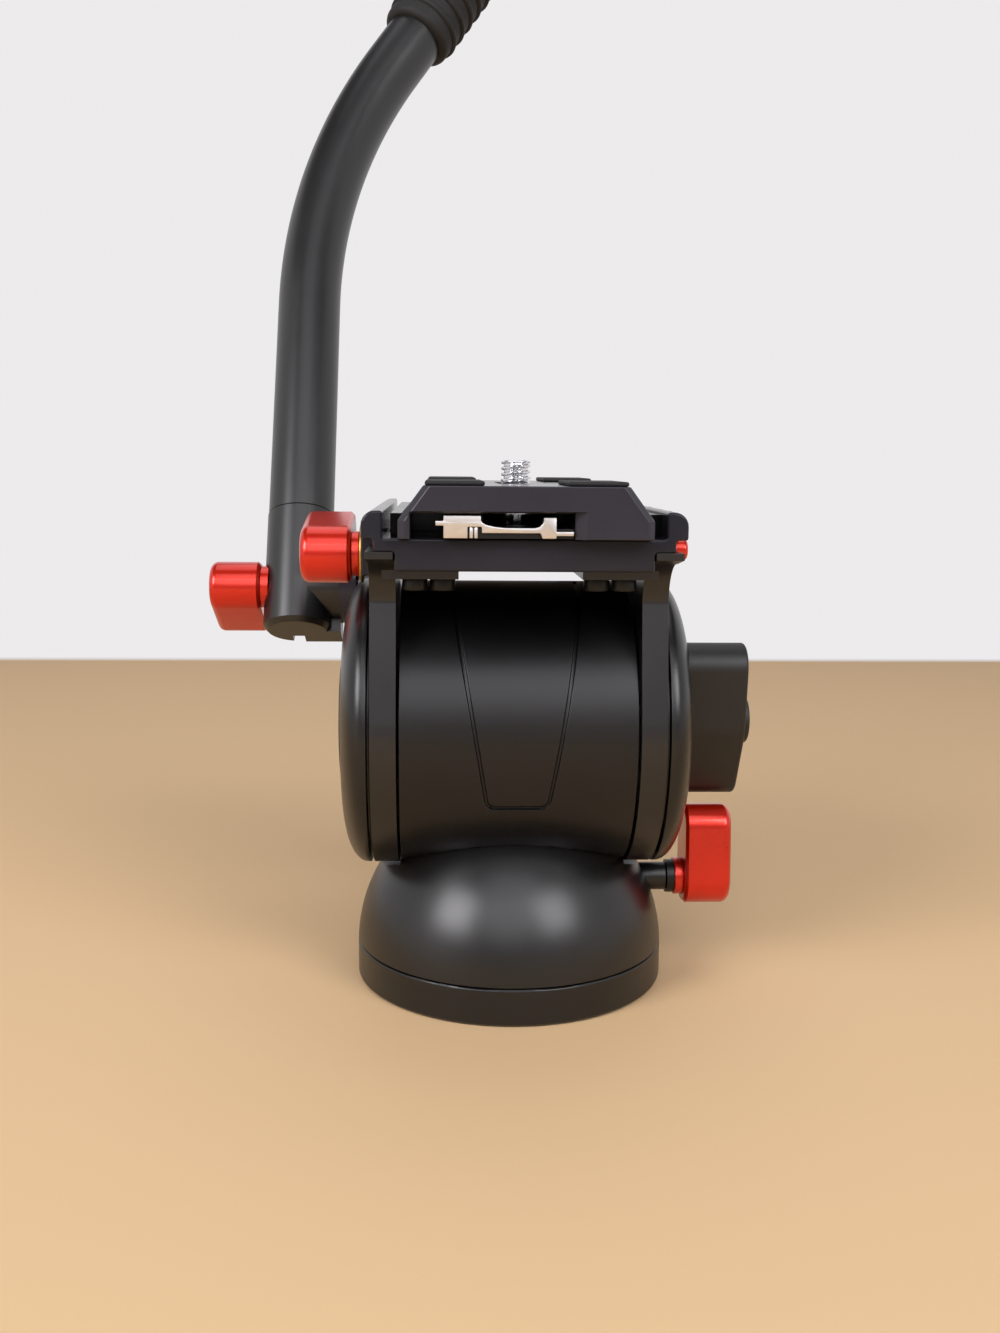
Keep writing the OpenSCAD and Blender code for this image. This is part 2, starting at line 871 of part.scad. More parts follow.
module tilt_drum() {
  color(satin_black)
    difference() {
      at_tilt()
        bar_x(-drum_end, drum_end, drum_r);
      at_tilt()
        for (side = [0, 1])
          mirror([side, 0, 0]) {
            bar_x(drum_web, drum_end, drum_in_r);
            bar_x(plate_in, drum_end + cut, plate_seat_r);
          }
      at_tilt()
        bar_x(-drum_web - cut, drum_web + cut, stud_r + run);
      round_drum_bolts()
        cylinder(r = bolt_r + run, h = bolt_top + run);
      at_tilt()
        intersection() {
          along_y(-drum_r - cut, 0)
            difference() {
              groove_outline(0);
              groove_outline(groove_w);
            }
          tube_x(-drum_end, drum_end, drum_r - groove_depth, drum_r + cut);
        }
    }
}

module bearing_plate() {
  difference() {
    tube_x(plate_in, drum_end, tilt_bush_r + seat, plate_seat_r - seat);
    children();
  }
}

module left_bearing_plate() {
  color(anodised_grey)
    at_tilt()
      mirror([1, 0, 0])
        bearing_plate();
}

module right_bearing_plate() {
  color(anodised_grey)
    at_tilt()
      bearing_plate()
        tube_x(drum_end - brake_recess, drum_end + cut, brake_in_r, drum_in_r);
}

// Flanged bush, with its flange inside the drum
module tilt_bush() {
  tube_x(plate_in, drum_end, shaft_r + run, tilt_bush_r);
  tube_x(plate_in - bush_flange_t, plate_in, shaft_r + run, tilt_bush_r + 2);
}

module left_tilt_bush() {
  color(brass)
    at_tilt()
      mirror([1, 0, 0])
        tilt_bush();
}

module right_tilt_bush() {
  color(brass)
    at_tilt()
      tilt_bush();
}

module tilt_brake_disc() {
  color(plastic_white)
    at_tilt()
      tube_x(drum_end - brake_recess, drum_end + side_gap * 0.6, brake_in_r + 2 * slip, drum_in_r - 2 * slip);
}

// One drag vane at a step along the drum
module vane(step, inner, outer) {
  from = drum_web + step * vane_step;
  tube_x(from, from + vane_t, inner, outer);
}

module tilt_drag_rotor() {
  color(steel)
    at_tilt()
      mirror([1, 0, 0]) {
        tube_x(shaft_in + room, drum_web + rotor_len, shaft_r + seat, drag_hub_r);
        for (i = rotor_vanes)
          vane(i, drag_hub_r - join, vane_r);
      }
}

module tilt_drag_stator() {
  color(steel)
    at_tilt()
      mirror([1, 0, 0])
        for (i = stator_vanes)
          vane(i, drag_hub_r + wide_room, drum_in_r - seat);
}

module counterbalance_spring() {
  margin = spring_wire_r + slip;
  color(steel)
    at_tilt()
      coil_x(drum_web + margin, plate_in - bush_flange_t - margin, spring_r, spring_wire_r, spring_turns);
}

// Outline of an arm about the tilt axis, across Y and Z
module arm_outline() {
  top = bed_rise + rebate_h;
  bend_y = neck_half + flare_r;
  tip_rise = 1.2;
  bend_top = top - flare_tip - tip_rise;
  bend_mid = bend_top - flare_r;
  shoulder = 7;
  shoulder_half = sqrt(pow(arm_r, 2) - pow(shoulder, 2));
  circle(r = arm_r);
  polygon(both_sides([
    [0, 0], [shoulder_half, shoulder], [neck_half, bend_mid], [neck_half, top], [0, top]
  ]));
  for (side = [0, 1])
    mirror([side, 0])
      difference() {
        polygon([
          [0, bend_mid], [bend_y, bend_mid], [bend_y, bend_top],
          [bed_half, top - flare_tip], [bed_half, top], [0, top]
        ]);
        translate([bend_y, bend_mid])
          circle(r = flare_r);
      }
}

// An arm on the right side, with its shaft hole and its inner flange
module arm() {
  difference() {
    union() {
      at_tilt()
        along_x(arm_in, arm_out)
          arm_outline();
      box([flange_end, -flange_half, bed_z - flange_t], [arm_in + arm_t / 2, flange_half, bed_z]);
    }
    at_tilt()
      intersection() {
        bar_x(arm_in - cut, arm_out + cut, shaft_r + run);
        box([0, -arm_r, -shaft_flat - run], [arm_out + cut, arm_r, shaft_flat + run]);
      }
    round_bed_screws()
      translate([0, 0, bed_z - flange_t - cut])
        cylinder(r = bed_screw_r + run, h = flange_t + 2 * cut);
    children();
  }
}

// Lug behind the left arm that carries the handle's rosette
module handle_lug() {
  at_pivot()
    bar_x(-arm_out, -arm_in, lug_r);
  at_tilt()
    along_x(-arm_out, -arm_in)
      polygon([
        [0, pivot_rise - lug_r], [pivot_y, pivot_rise - lug_r],
        [pivot_y, pivot_rise + lug_r], [0, pivot_rise + lug_r]
      ]);
}

module left_arm() {
  color(satin_black)
    difference() {
      union() {
        mirror([1, 0, 0])
          arm();
        handle_lug();
      }
      at_pivot()
        bar_x(-arm_out - cut, -arm_in + cut, handle_bolt_r + run);
      // Room for the clamp's housing
      box(
        [-arm_out - cut, clamp_y - clamp_boss_half - slip, clamp_boss_z - slip],
        [-clamp_boss_in + slip, clamp_y + clamp_boss_half + slip, seat_z + cut]
      );
    }
}

module right_arm() {
  color(satin_black)
    arm()
      translate([0, button_y, button_z])
        bar_x(arm_in - cut, arm_out + cut, button_r + pass);
}

// A shaft on the right side, with two flats where it sits in its arm
module shaft(bore) {
  difference() {
    bar_x(shaft_in, arm_out, shaft_r);
    for (side = [0, 1])
      mirror([0, 0, side])
        box([arm_in - loose, -shaft_r - cut, shaft_flat], [arm_out + cut, shaft_r + cut, shaft_r + cut]);
    bar_x(shaft_in - cut, arm_out + cut, bore);
  }
}

module left_shaft() {
  color(steel)
    at_tilt()
      mirror([1, 0, 0])
        shaft(shaft_bolt_r + run);
}

module right_shaft() {
  color(steel)
    at_tilt()
      shaft(stud_r + pass);
}

module left_shaft_bolt() {
  color(steel)
    at_tilt()
      mirror([1, 0, 0]) {
        bar_x(shaft_in + 4, arm_out, shaft_bolt_r);
        bar_x(arm_out, arm_out + shaft_washer_t, shaft_r + 2);
        bar_x(arm_out + shaft_washer_t, shaft_bolt_end, shaft_bolt_r + 2);
      }
}

// A side cap on the right: a shallow dish with a swept edge
module cap() {
  rise = cap_depth - cap_gap - cap_rim_t;
  reach = cap_r - cap_flat_r;
  edge_x = cap_out - rise;
  difference() {
    turned_x()
      polygon(concat(
        [[0, arm_out], [cap_neck_r, arm_out], [cap_neck_r, arm_out + cap_gap], [cap_r, arm_out + cap_gap]],
        [for (i = [0:12]) let (a = 90 * i / 12) [cap_flat_r + reach * cos(a), edge_x + rise * sin(a)]],
        [[0, cap_out]]
      ));
    bar_x(arm_out - cut, cap_out - cap_wall, cap_flat_r - 1);
    children();
  }
}

module left_cap() {
  color(gloss_black)
    at_tilt()
      mirror([1, 0, 0])
        cap()
          bar_x(cap_out - cap_disc_sink, cap_out + cut, cap_disc_r + run);
}

module left_cap_disc() {
  color(gloss_black)
    at_tilt()
      mirror([1, 0, 0])
        bar_x(cap_out - cap_disc_sink, cap_out - cap_disc_sink + cap_disc_t, cap_disc_r);
}

module right_cap() {
  color(gloss_black)
    at_tilt()
      cap()
        bar_x(arm_out, cap_out + cut, stud_r + pass);
}

// Outline of the platform across X and Z
module bed_outline() {
  polygon(both_sides(concat(
    [
      [lower_half, bed_z], [lower_half, seat_z], [waist_half, seat_z],
      [waist_half, waist_top], [rail_half, waist_top]
    ],
    arc(rail_half - rail_corner, rail_z - rail_corner, rail_corner, 0, 90),
    [[rail_in, rail_z], [rail_in, floor_z]]
  )));
}

module platform() {
  color(anodised_grey)
    difference() {
      union() {
        along_y(-bed_half, bed_half)
          bed_outline();
        // Housing of the clamp screw
        box(
          [-clamp_face, clamp_y - clamp_boss_half, clamp_boss_z],
          [-clamp_boss_in, clamp_y + clamp_boss_half, floor_z - 1]
        );
      }
      // Pocket of the jaw's tongue, and the screw's bore
      box(
        [-pocket_out, clamp_y - pocket_half, pocket_z],
        [-pocket_in, clamp_y + pocket_half, floor_z + cut]
      );
      at_clamp()
        bar_x(-clamp_face - cut, -pocket_out + cut, clamp_screw_r + run);
      // Channel of the release bar, and the button's bore
      box(
        [channel_left, button_y - channel_half, button_z - channel_half],
        [bore_in + slip, button_y + channel_half, floor_z + cut]
      );
      translate([0, button_y, button_z])
        bar_x(bore_in, rail_half + cut, button_r + run);
      round_bed_screws()
        translate([0, 0, bed_z - cut])
          cylinder(r = bed_screw_r + run, h = bed_screw_depth + run + cut);
      for (y = jaw_screw_ys)
        translate([0, y, jaw_screw_z]) {
          bar_x(rail_in - cut, rail_half + cut, jaw_screw_r + run);
          bar_x(rail_half - jaw_screw_head, rail_half + cut, 2 * jaw_screw_r + run);
        }
    }
}

module platform_screws() {
  color(steel)
    round_bed_screws() {
      translate([0, 0, bed_z - flange_t])
        cylinder(r = bed_screw_r, h = flange_t + bed_screw_depth);
      difference() {
        translate([0, 0, bed_z - flange_t - bed_screw_head_t])
          cylinder(r = bed_screw_head_r, h = bed_screw_head_t);
        translate([0, 0, bed_z - flange_t - bed_screw_head_t - cut])
          cylinder(r = bed_screw_r - hex_inset, h = cut + hex_depth, $fn = 6);
      }
    }
}

// Outline of a jaw on the right side, out to a given back
module jaw_outline(back) {
  foot = foot_half + slip;
  polygon([
    [foot, floor_z], [back, floor_z], [back, jaw_top],
    [flank(jaw_top) + slip, jaw_top], [foot, plate_z + plate_lip]
  ]);
}

module fixed_jaw() {
  color(satin_black)
    difference() {
      along_y(-jaw_half, jaw_half)
        jaw_outline(rail_in);
      for (y = jaw_screw_ys)
        translate([0, y, jaw_screw_z])
          bar_x(rail_in - jaw_screw_depth, rail_in + cut, jaw_screw_r + run);
    }
}

module jaw_screws() {
  color(steel)
    for (y = jaw_screw_ys)
      translate([0, y, jaw_screw_z])
        difference() {
          union() {
            bar_x(rail_in - jaw_screw_depth + slip, rail_half - loose, jaw_screw_r);
            bar_x(rail_half - jaw_screw_head, rail_half - loose, 2 * jaw_screw_r);
          }
          bar_x(rail_half - loose - jaw_hex_depth, rail_half + cut, jaw_screw_r - hex_inset, $fn = 6);
        }
}

module clamp_washer() {
  color(brass)
    at_clamp()
      tube_x(-clamp_face - clamp_washer_t, -clamp_face, clamp_screw_r + run, clamp_washer_r);
}

// A ring of low teeth on the face of a rosette, rising along X to the tips
module rosette_teeth(face, tips) {
  half = rosette_in_r * tan(180 / rosette_teeth_n) * tooth_fill;
  root = face - (tips - face) / 2;
  for (i = [0:rosette_teeth_n - 1])
    rotate([i * 360 / rosette_teeth_n, 0, 0])
      along_y(rosette_in_r, rosette_r - loose)
        polygon([[root, -half], [face, -half], [tips, 0], [face, half], [root, half]]);
}

module arm_rosette() {
  face = -arm_out - arm_rosette_t + tooth_h;
  color(anodised_grey)
    at_pivot() {
      tube_x(face, -arm_out, handle_bolt_r + run, rosette_r);
      rosette_teeth(face, face - tooth_h);
    }
}

module clamp_jaw() {
  back = -clamp_jaw_out;
  color(satin_black)
    difference() {
      union() {
        mirror([1, 0, 0])
          along_y(-jaw_half, jaw_half)
            jaw_outline(clamp_jaw_out);
        box(
          [back, clamp_y - tongue_half, floor_z - tongue_drop],
          [back + tongue_t, clamp_y + tongue_half, floor_z]
        );
      }
      at_clamp()
        bar_x(back - cut, back + tongue_t + cut, clamp_screw_r + run);
    }
}

module clamp_lever() {
  color(anodised_red)
    at_clamp()
      translate([-clamp_lever_in, 0, 0])
        mirror([1, 0, 0])
          rotate([clamp_lever_rise - 90, 0, 0])
            lever(lever_t);
}

module clamp_collar() {
  color(anodised_red)
    at_clamp()
      tube_x(-clamp_lever_in, -clamp_face - clamp_washer_t - slip, clamp_screw_r + seat, clamp_collar_r);
}

module clamp_screw() {
  color(steel)
    at_clamp()
      bar_x(-clamp_lever_in, -pocket_in - 2 * slip, clamp_screw_r);
}

module release_button() {
  end = rail_half + button_reach;
  dome = button_r * 0.4;
  color(anodised_red)
    translate([0, button_y, button_z])
      turned_x()
        polygon(concat(
          [[0, bar_right], [button_r, bar_right]],
          arc(button_r - dome, end - dome, dome, 0, 90),
          [[0, end]]
        ));
}

module release_bar() {
  color(steel)
    box(
      [bar_left, button_y - bar_half, button_z - bar_half],
      [bar_right, button_y + bar_half, button_z + bar_half]
    );
}

// Front of the catch: a broad tab, a scoop, a narrow hook and a low strip
module catch_outline() {
  tab_z = floor_z + catch_tab_h;
  hook_z = tab_z - catch_hook_drop;
  scoop_mid = catch_sheet_z + catch_scoop_r;
  polygon(concat(
    [
      [catch_left, catch_z], [catch_right, catch_z], [catch_right, catch_sheet_z],
      [catch_hook_right, catch_sheet_z], [catch_hook_right, hook_z], [catch_hook_left, hook_z]
    ],
    arc(catch_hook_left - catch_scoop_r, scoop_mid, catch_scoop_r, 0, -90),
    arc(catch_tab_right + catch_scoop_r, scoop_mid, catch_scoop_r, 270, 180),
    [[catch_tab_right, tab_z], [catch_left, tab_z]]
  ));
}

module safety_catch() {
  color(steel) {
    along_y(catch_front, catch_front + catch_tab_t)
      catch_outline();
    box([catch_left, catch_front, catch_z], [catch_right, catch_back, catch_sheet_z]);
    box(
      [bar_left, button_y - bar_half, button_z + bar_half],
      [-bar_left, button_y + bar_half, catch_sheet_z]
    );
  }
}

module plate_body() {
  color(anodised_grey)
    difference() {
      along_y(plate_front, plate_back)
        polygon(both_sides([[foot_half, plate_z], [foot_half, plate_z + plate_lip], [top_half, plate_top]]));
      box([hollow_left, plate_front - cut, plate_z - cut], [hollow_right, hollow_back, hollow_z]);
      box(
        [-head_channel_half, hollow_back - cut, plate_z - cut],
        [head_channel_half, head_channel_back, hollow_z]
      );
      box([-slot_half, slot_front_y, plate_z - cut], [slot_half, slot_back_y, plate_top + cut]);
    }
}

module plate_pads() {
  color(rubber_black)
    for (side = [-1, 1], y = [plate_front + pad_inset, plate_back - pad_inset - pad_len])
      translate([side * (top_half - pad_w / 2 - pad_edge), y + pad_len / 2, plate_top])
        translate([-pad_w / 2, -pad_len / 2, 0])
          cube([pad_w, pad_len, pad_h]);
}

module screw_slider() {
  color(satin_black)
    translate([0, camera_y, 0])
      difference() {
        union() {
          box([-slider_flange, -slider_flange, slider_z], [slider_flange, slider_flange, hollow_z - run]);
          box([-slider_half, -slider_len, slider_z], [slider_half, slider_len, slider_top]);
        }
        cylinder(r = camera_screw_r + run, h = plate_top + cut);
      }
}

// A captive screw: a wide slotted head, a slim neck and a short thread
module camera_screw() {
  top = plate_top + camera_screw_h;
  neck_z = head_z + head_t;
  neck_r = camera_screw_r - camera_thread_depth;
  slot_t = 0.8;
  color(steel)
    translate([0, camera_y, 0])
      difference() {
        rotate_extrude()
          polygon([
            [0, head_z], [head_r - head_edge, head_z], [head_r, head_z + head_edge], [head_r, neck_z],
            [neck_r, neck_z], [neck_r, camera_thread_z - camera_thread_depth],
            [camera_screw_r, camera_thread_z], [camera_screw_r, top - camera_thread_depth],
            [neck_r, top], [0, top]
          ]);
        box([-slot_t, -head_r - cut, head_z - cut], [slot_t, head_r + cut, head_z + head_t / 2]);
      }
}

module tilt_lock_bar() {
  end_z = bar_len / 2 - bar_end_r;
  color(satin_black)
    at_tilt()
      translate([bar_in, 0, 0])
        rotate([bar_turn, 0, 0]) {
          hull($fn = hull_fn) {
            soft_disc(bar_hub_r, bar_t);
            for (side = [-1, 1])
              translate([0, 0, side * end_z])
                soft_disc(bar_end_r, bar_t);
          }
          bar_x(bar_t - room, bar_t + bar_boss_h, bar_boss_r);
        }
}

module tilt_lock_stud() {
  color(steel)
    at_tilt()
      bar_x(-drum_web + room, bar_in, stud_r);
}

module tilt_lock_washer() {
  color(satin_black)
    at_tilt()
      tube_x(cap_out + slip, bar_in, stud_r + seat, bar_hub_r - room);
}

module pan_lock_lever() {
  color(anodised_red)
    at_pan_lock()
      translate([pan_lever_in, 0, 0])
        lever(lever_t);
}

module pan_lock_collar() {
  color(anodised_red)
    at_pan_lock()
      tube_x(boss_out + slip + pan_ring_t, pan_lever_in, pan_screw_r + seat, pan_collar_r);
}

module pan_lock_screw() {
  color(satin_black)
    at_pan_lock() {
      bar_x(shoe_in + shoe_len + slip, pan_lever_in, pan_screw_r);
      tube_x(boss_out + slip, boss_out + slip + pan_ring_t, pan_screw_r - join, pan_ring_r);
    }
}

// Socket of the handle: a split lower end, and an ear towards the rosette
module handle_socket() {
  color(satin_black)
    at_handle()
      difference() {
        union() {
          rotate_extrude()
            polygon([
              [0, -socket_low], [socket_r - socket_edge, -socket_low], [socket_r, -socket_low + socket_edge],
              [socket_r, socket_high], [spigot_r, socket_high],
              [spigot_r, socket_high + spigot_len], [0, socket_high + spigot_len]
            ]);
          bar_x(0, socket_reach, rosette_r - room);
          box([0, 0, -socket_low], [socket_reach, ear_back, 0]);
        }
        bar_x(-socket_r - cut, socket_reach + cut, handle_bolt_r + slip);
        bar_x(-socket_r - cut, -socket_seat, handle_collar_r + loose);
        box(
          [-slit_half, socket_r - slit_len, -socket_low - cut],
          [slit_half, socket_r + cut, -socket_low + slit_depth]
        );
      }
}

module handle_rosette() {
  face = -handle_rosette_in - tooth_h;
  color(anodised_grey)
    at_pivot() {
      tube_x(-socket_face, face, handle_bolt_r + slip, rosette_r);
      rosette_teeth(face, face + tooth_h);
    }
}

// Ring across the tube, drawn in on both faces by an inset
module tube_section(inset) {
  difference() {
    circle(r = tube_r - inset);
    circle(r = tube_r - tube_wall + inset);
  }
}

// The upper length starts a little way inside the bend
module handle_tube() {
  color(satin_black) {
    at_handle() {
      translate([0, 0, socket_high])
        linear_extrude(tube_low)
          tube_section(0);
      translate([bend_r, 0, bend_z])
        rotate([90, 0, 180])
          rotate_extrude(angle = bend_angle)
            translate([bend_r, 0])
              tube_section(0);
    }
    at_bend_end()
      translate([0, 0, -cut])
        linear_extrude(tube_high + cut)
          tube_section(seat);
  }
}

// Rubber grip with a row of rings
module handle_grip() {
  middle = grip_start + grip_len / 2;
  ribs = [
    for (i = [0:grip_steps_n], side = [-1, -0.5, 0.5, 1])
      [
        abs(side) == 1 ? grip_core_r : grip_r,
        middle + (i - grip_steps_n / 2) * grip_pitch + side * rib_half
      ]
  ];
  color(rubber_black)
    at_bend_end()
      rotate_extrude()
        polygon(concat(
          [[tube_r + seat, grip_start]],
          arc(grip_core_r - grip_edge, grip_start + grip_edge, grip_edge, -90, 0),
          ribs,
          arc(grip_core_r - grip_edge, tube_high - grip_edge, grip_edge, 0, 90),
          [[tube_r + seat, tube_high]]
        ));
}

module handle_end_cap() {
  cap_end = tube_high + end_cap_t;
  side_r = grip_r - room;
  edge = end_cap_t - 1;
  color(rubber_black)
    at_bend_end()
      rotate_extrude()
        polygon(concat(
          [
            [0, tube_high - end_plug_len], [spigot_r, tube_high - end_plug_len],
            [spigot_r, tube_high], [side_r, tube_high]
          ],
          arc(side_r - edge, cap_end - edge, edge, 0, 90),
          [[0, cap_end]]
        ));
}

module handle_lever() {
  color(anodised_red)
    at_pivot()
      translate([-handle_lever_in, 0, 0])
        mirror([1, 0, 0])
          rotate([-90 - handle_lever_drop, 0, 0])
            lever(handle_lever_t);
}

module handle_collar() {
  color(anodised_red)
    at_pivot()
      tube_x(-handle_lever_in, -socket_out - slip, handle_bolt_r + seat, handle_collar_r);
}

module handle_bolt() {
  color(steel)
    at_pivot()
      bar_x(-handle_lever_in, -arm_in - loose, handle_bolt_r);
}

base_plate();
thread_insert();
pan_spindle();
spindle_screws();
pan_collar();
pan_dome();
pan_thrust_washer();
pan_bush();
pan_drag_disc();
pan_brake_shoe();
pan_lock_boss();
drum_bolts();
tilt_drum();
left_bearing_plate();
right_bearing_plate();
left_tilt_bush();
right_tilt_bush();
tilt_drag_stator();
counterbalance_spring();
tilt_brake_disc();
left_arm();
right_arm();
left_shaft();
right_shaft();
tilt_drag_rotor();
left_shaft_bolt();
left_cap();
left_cap_disc();
right_cap();
platform();
platform_screws();
fixed_jaw();
jaw_screws();
clamp_washer();
arm_rosette();
clamp_jaw();
clamp_lever();
clamp_collar();
clamp_screw();
release_button();
release_bar();
safety_catch();
plate_body();
plate_pads();
screw_slider();
camera_screw();
tilt_lock_bar();
tilt_lock_stud();
tilt_lock_washer();
pan_lock_lever();
pan_lock_collar();
pan_lock_screw();
handle_socket();
handle_rosette();
handle_tube();
handle_grip();
handle_end_cap();
handle_lever();
handle_collar();
handle_bolt();
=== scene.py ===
import bpy
import bmesh
import json
import math
from mathutils import Matrix, Vector


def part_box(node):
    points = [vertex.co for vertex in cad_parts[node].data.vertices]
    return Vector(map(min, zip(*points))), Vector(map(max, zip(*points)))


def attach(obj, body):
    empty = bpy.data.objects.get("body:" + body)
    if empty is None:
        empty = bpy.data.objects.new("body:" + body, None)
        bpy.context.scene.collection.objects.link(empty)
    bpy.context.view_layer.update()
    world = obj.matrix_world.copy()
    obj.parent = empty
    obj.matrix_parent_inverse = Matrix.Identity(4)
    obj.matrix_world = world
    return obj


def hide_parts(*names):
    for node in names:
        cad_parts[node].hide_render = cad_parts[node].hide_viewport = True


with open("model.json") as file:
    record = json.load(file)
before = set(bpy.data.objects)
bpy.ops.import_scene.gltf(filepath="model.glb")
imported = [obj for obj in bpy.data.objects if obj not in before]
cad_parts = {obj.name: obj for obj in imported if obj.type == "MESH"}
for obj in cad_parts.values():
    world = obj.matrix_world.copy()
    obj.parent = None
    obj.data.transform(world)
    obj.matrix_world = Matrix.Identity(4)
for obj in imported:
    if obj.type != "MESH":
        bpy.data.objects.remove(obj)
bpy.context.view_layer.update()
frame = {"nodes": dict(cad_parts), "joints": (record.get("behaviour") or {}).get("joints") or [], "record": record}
nodes = frame["nodes"]
bodyOf = {}
for bodyName, members in frame["record"]["behaviour"]["bodies"].items():
    for member in members:
        bodyOf[member] = bodyName
slotOf = {part["node"]: part["material_slot"] for part in frame["record"]["subparts"]}
jointPlace = {joint["name"]: Vector(joint["pos_m"]) for joint in frame["joints"] if "pos_m" in joint}
mm = 0.001  # sizes of pieces are written in millimetres, camera, stage and lamps in metres
scene = bpy.context.scene
print("frame loaded:", len(nodes), "nodes")


# camera at the photo's viewpoint
camSet = {"place": (-0.0161, -0.2912, 0.1163), "pitch": 8.82, "yaw": 2.65, "roll": 0.49, "lens": 35.11,
          "sensor": 36, "near": 0.01}


def makeCamera():
    pitch = math.radians(camSet["pitch"])
    yaw = math.radians(camSet["yaw"])
    look = Vector((math.sin(yaw) * math.cos(pitch), math.cos(yaw) * math.cos(pitch), -math.sin(pitch)))
    side = look.cross(Vector((0, 0, 1))).normalized()
    up = side.cross(look)
    turn = Matrix((side, up, -look)).transposed().to_4x4()
    turn = turn @ Matrix.Rotation(math.radians(camSet["roll"]), 4, "Z")
    data = bpy.data.cameras.new("camera")
    data.sensor_width = camSet["sensor"]
    data.lens = camSet["lens"]
    data.clip_start = camSet["near"]
    camera = bpy.data.objects.new("camera", data)
    camera.matrix_world = Matrix.Translation(camSet["place"]) @ turn
    scene.collection.objects.link(camera)
    scene.camera = camera


makeCamera()


# small helpers for node materials
def addNode(tree, kind, values=None, **props):
    node = tree.nodes.new(kind)
    for key, value in props.items():
        setattr(node, key, value)
    for key, value in (values or {}).items():
        node.inputs[key].default_value = value
    return node


def objectCoords(tree, stretch=(1, 1, 1)):
    coords = addNode(tree, "ShaderNodeTexCoord")
    scaled = addNode(tree, "ShaderNodeMapping", {"Scale": stretch})
    tree.links.new(coords.outputs["Object"], scaled.inputs["Vector"])
    return scaled.outputs["Vector"]


def noiseAt(tree, vector, scale, detail=3, rough=0.55):
    noise = addNode(tree, "ShaderNodeTexNoise", {"Scale": scale, "Detail": detail, "Roughness": rough})
    tree.links.new(vector, noise.inputs["Vector"])
    return noise.outputs["Fac"]


def spread(tree, fac, low, high, start=0.3, end=0.7):
    ranged = addNode(tree, "ShaderNodeMapRange",
                     {"From Min": start, "From Max": end, "To Min": low, "To Max": high})
    tree.links.new(fac, ranged.inputs["Value"])
    return ranged.outputs["Result"]


def combine(tree, operation, first, second):
    both = addNode(tree, "ShaderNodeMath", operation=operation)
    tree.links.new(first, both.inputs[0])
    tree.links.new(second, both.inputs[1])
    return both.outputs["Value"]


# inputs 6 and 7 of a colour mix are its two colours, and output 2 is their mix
def mixColour(tree, fac, low, high):
    mixed = addNode(tree, "ShaderNodeMix", data_type="RGBA")
    mixed.inputs[6].default_value = (*low, 1)
    mixed.inputs[7].default_value = (*high, 1)
    tree.links.new(fac, mixed.inputs[0])
    return mixed.outputs[2]


def bumped(tree, height, strength, depth):
    bump = addNode(tree, "ShaderNodeBump", {"Strength": strength, "Distance": depth})
    tree.links.new(height, bump.inputs["Height"])
    return bump.outputs["Normal"]


grainShare = 0.6  # the grain's part of the change in gloss, the rest is the patches


# one finish: fine grain in the gloss and the bump, slow patches in the colour
def makeFinish(name, low, high, gloss, metal=0.0, grain=2600, stretch=(1, 1, 1), bump=0.25, depth=0.00002,
               patch=45, coat=0.0, coatGloss=0.1, specular=0.5):
    material = bpy.data.materials.new(name)
    material.use_nodes = True
    tree = material.node_tree
    shader = tree.nodes["Principled BSDF"]
    fine = noiseAt(tree, objectCoords(tree, stretch), grain)
    slow = noiseAt(tree, objectCoords(tree), patch, detail=4, rough=0.6)
    tree.links.new(mixColour(tree, spread(tree, slow, 0, 1), low, high), shader.inputs["Base Color"])
    wear = combine(tree, "ADD", spread(tree, fine, 0, grainShare), spread(tree, slow, 0, 1 - grainShare))
    tree.links.new(spread(tree, wear, gloss[0], gloss[1], 0, 1), shader.inputs["Roughness"])
    tree.links.new(bumped(tree, fine, bump, depth), shader.inputs["Normal"])
    shader.inputs["Metallic"].default_value = metal
    shader.inputs["Coat Weight"].default_value = coat
    shader.inputs["Coat Roughness"].default_value = coatGloss
    shader.inputs["Specular IOR Level"].default_value = specular
    return material


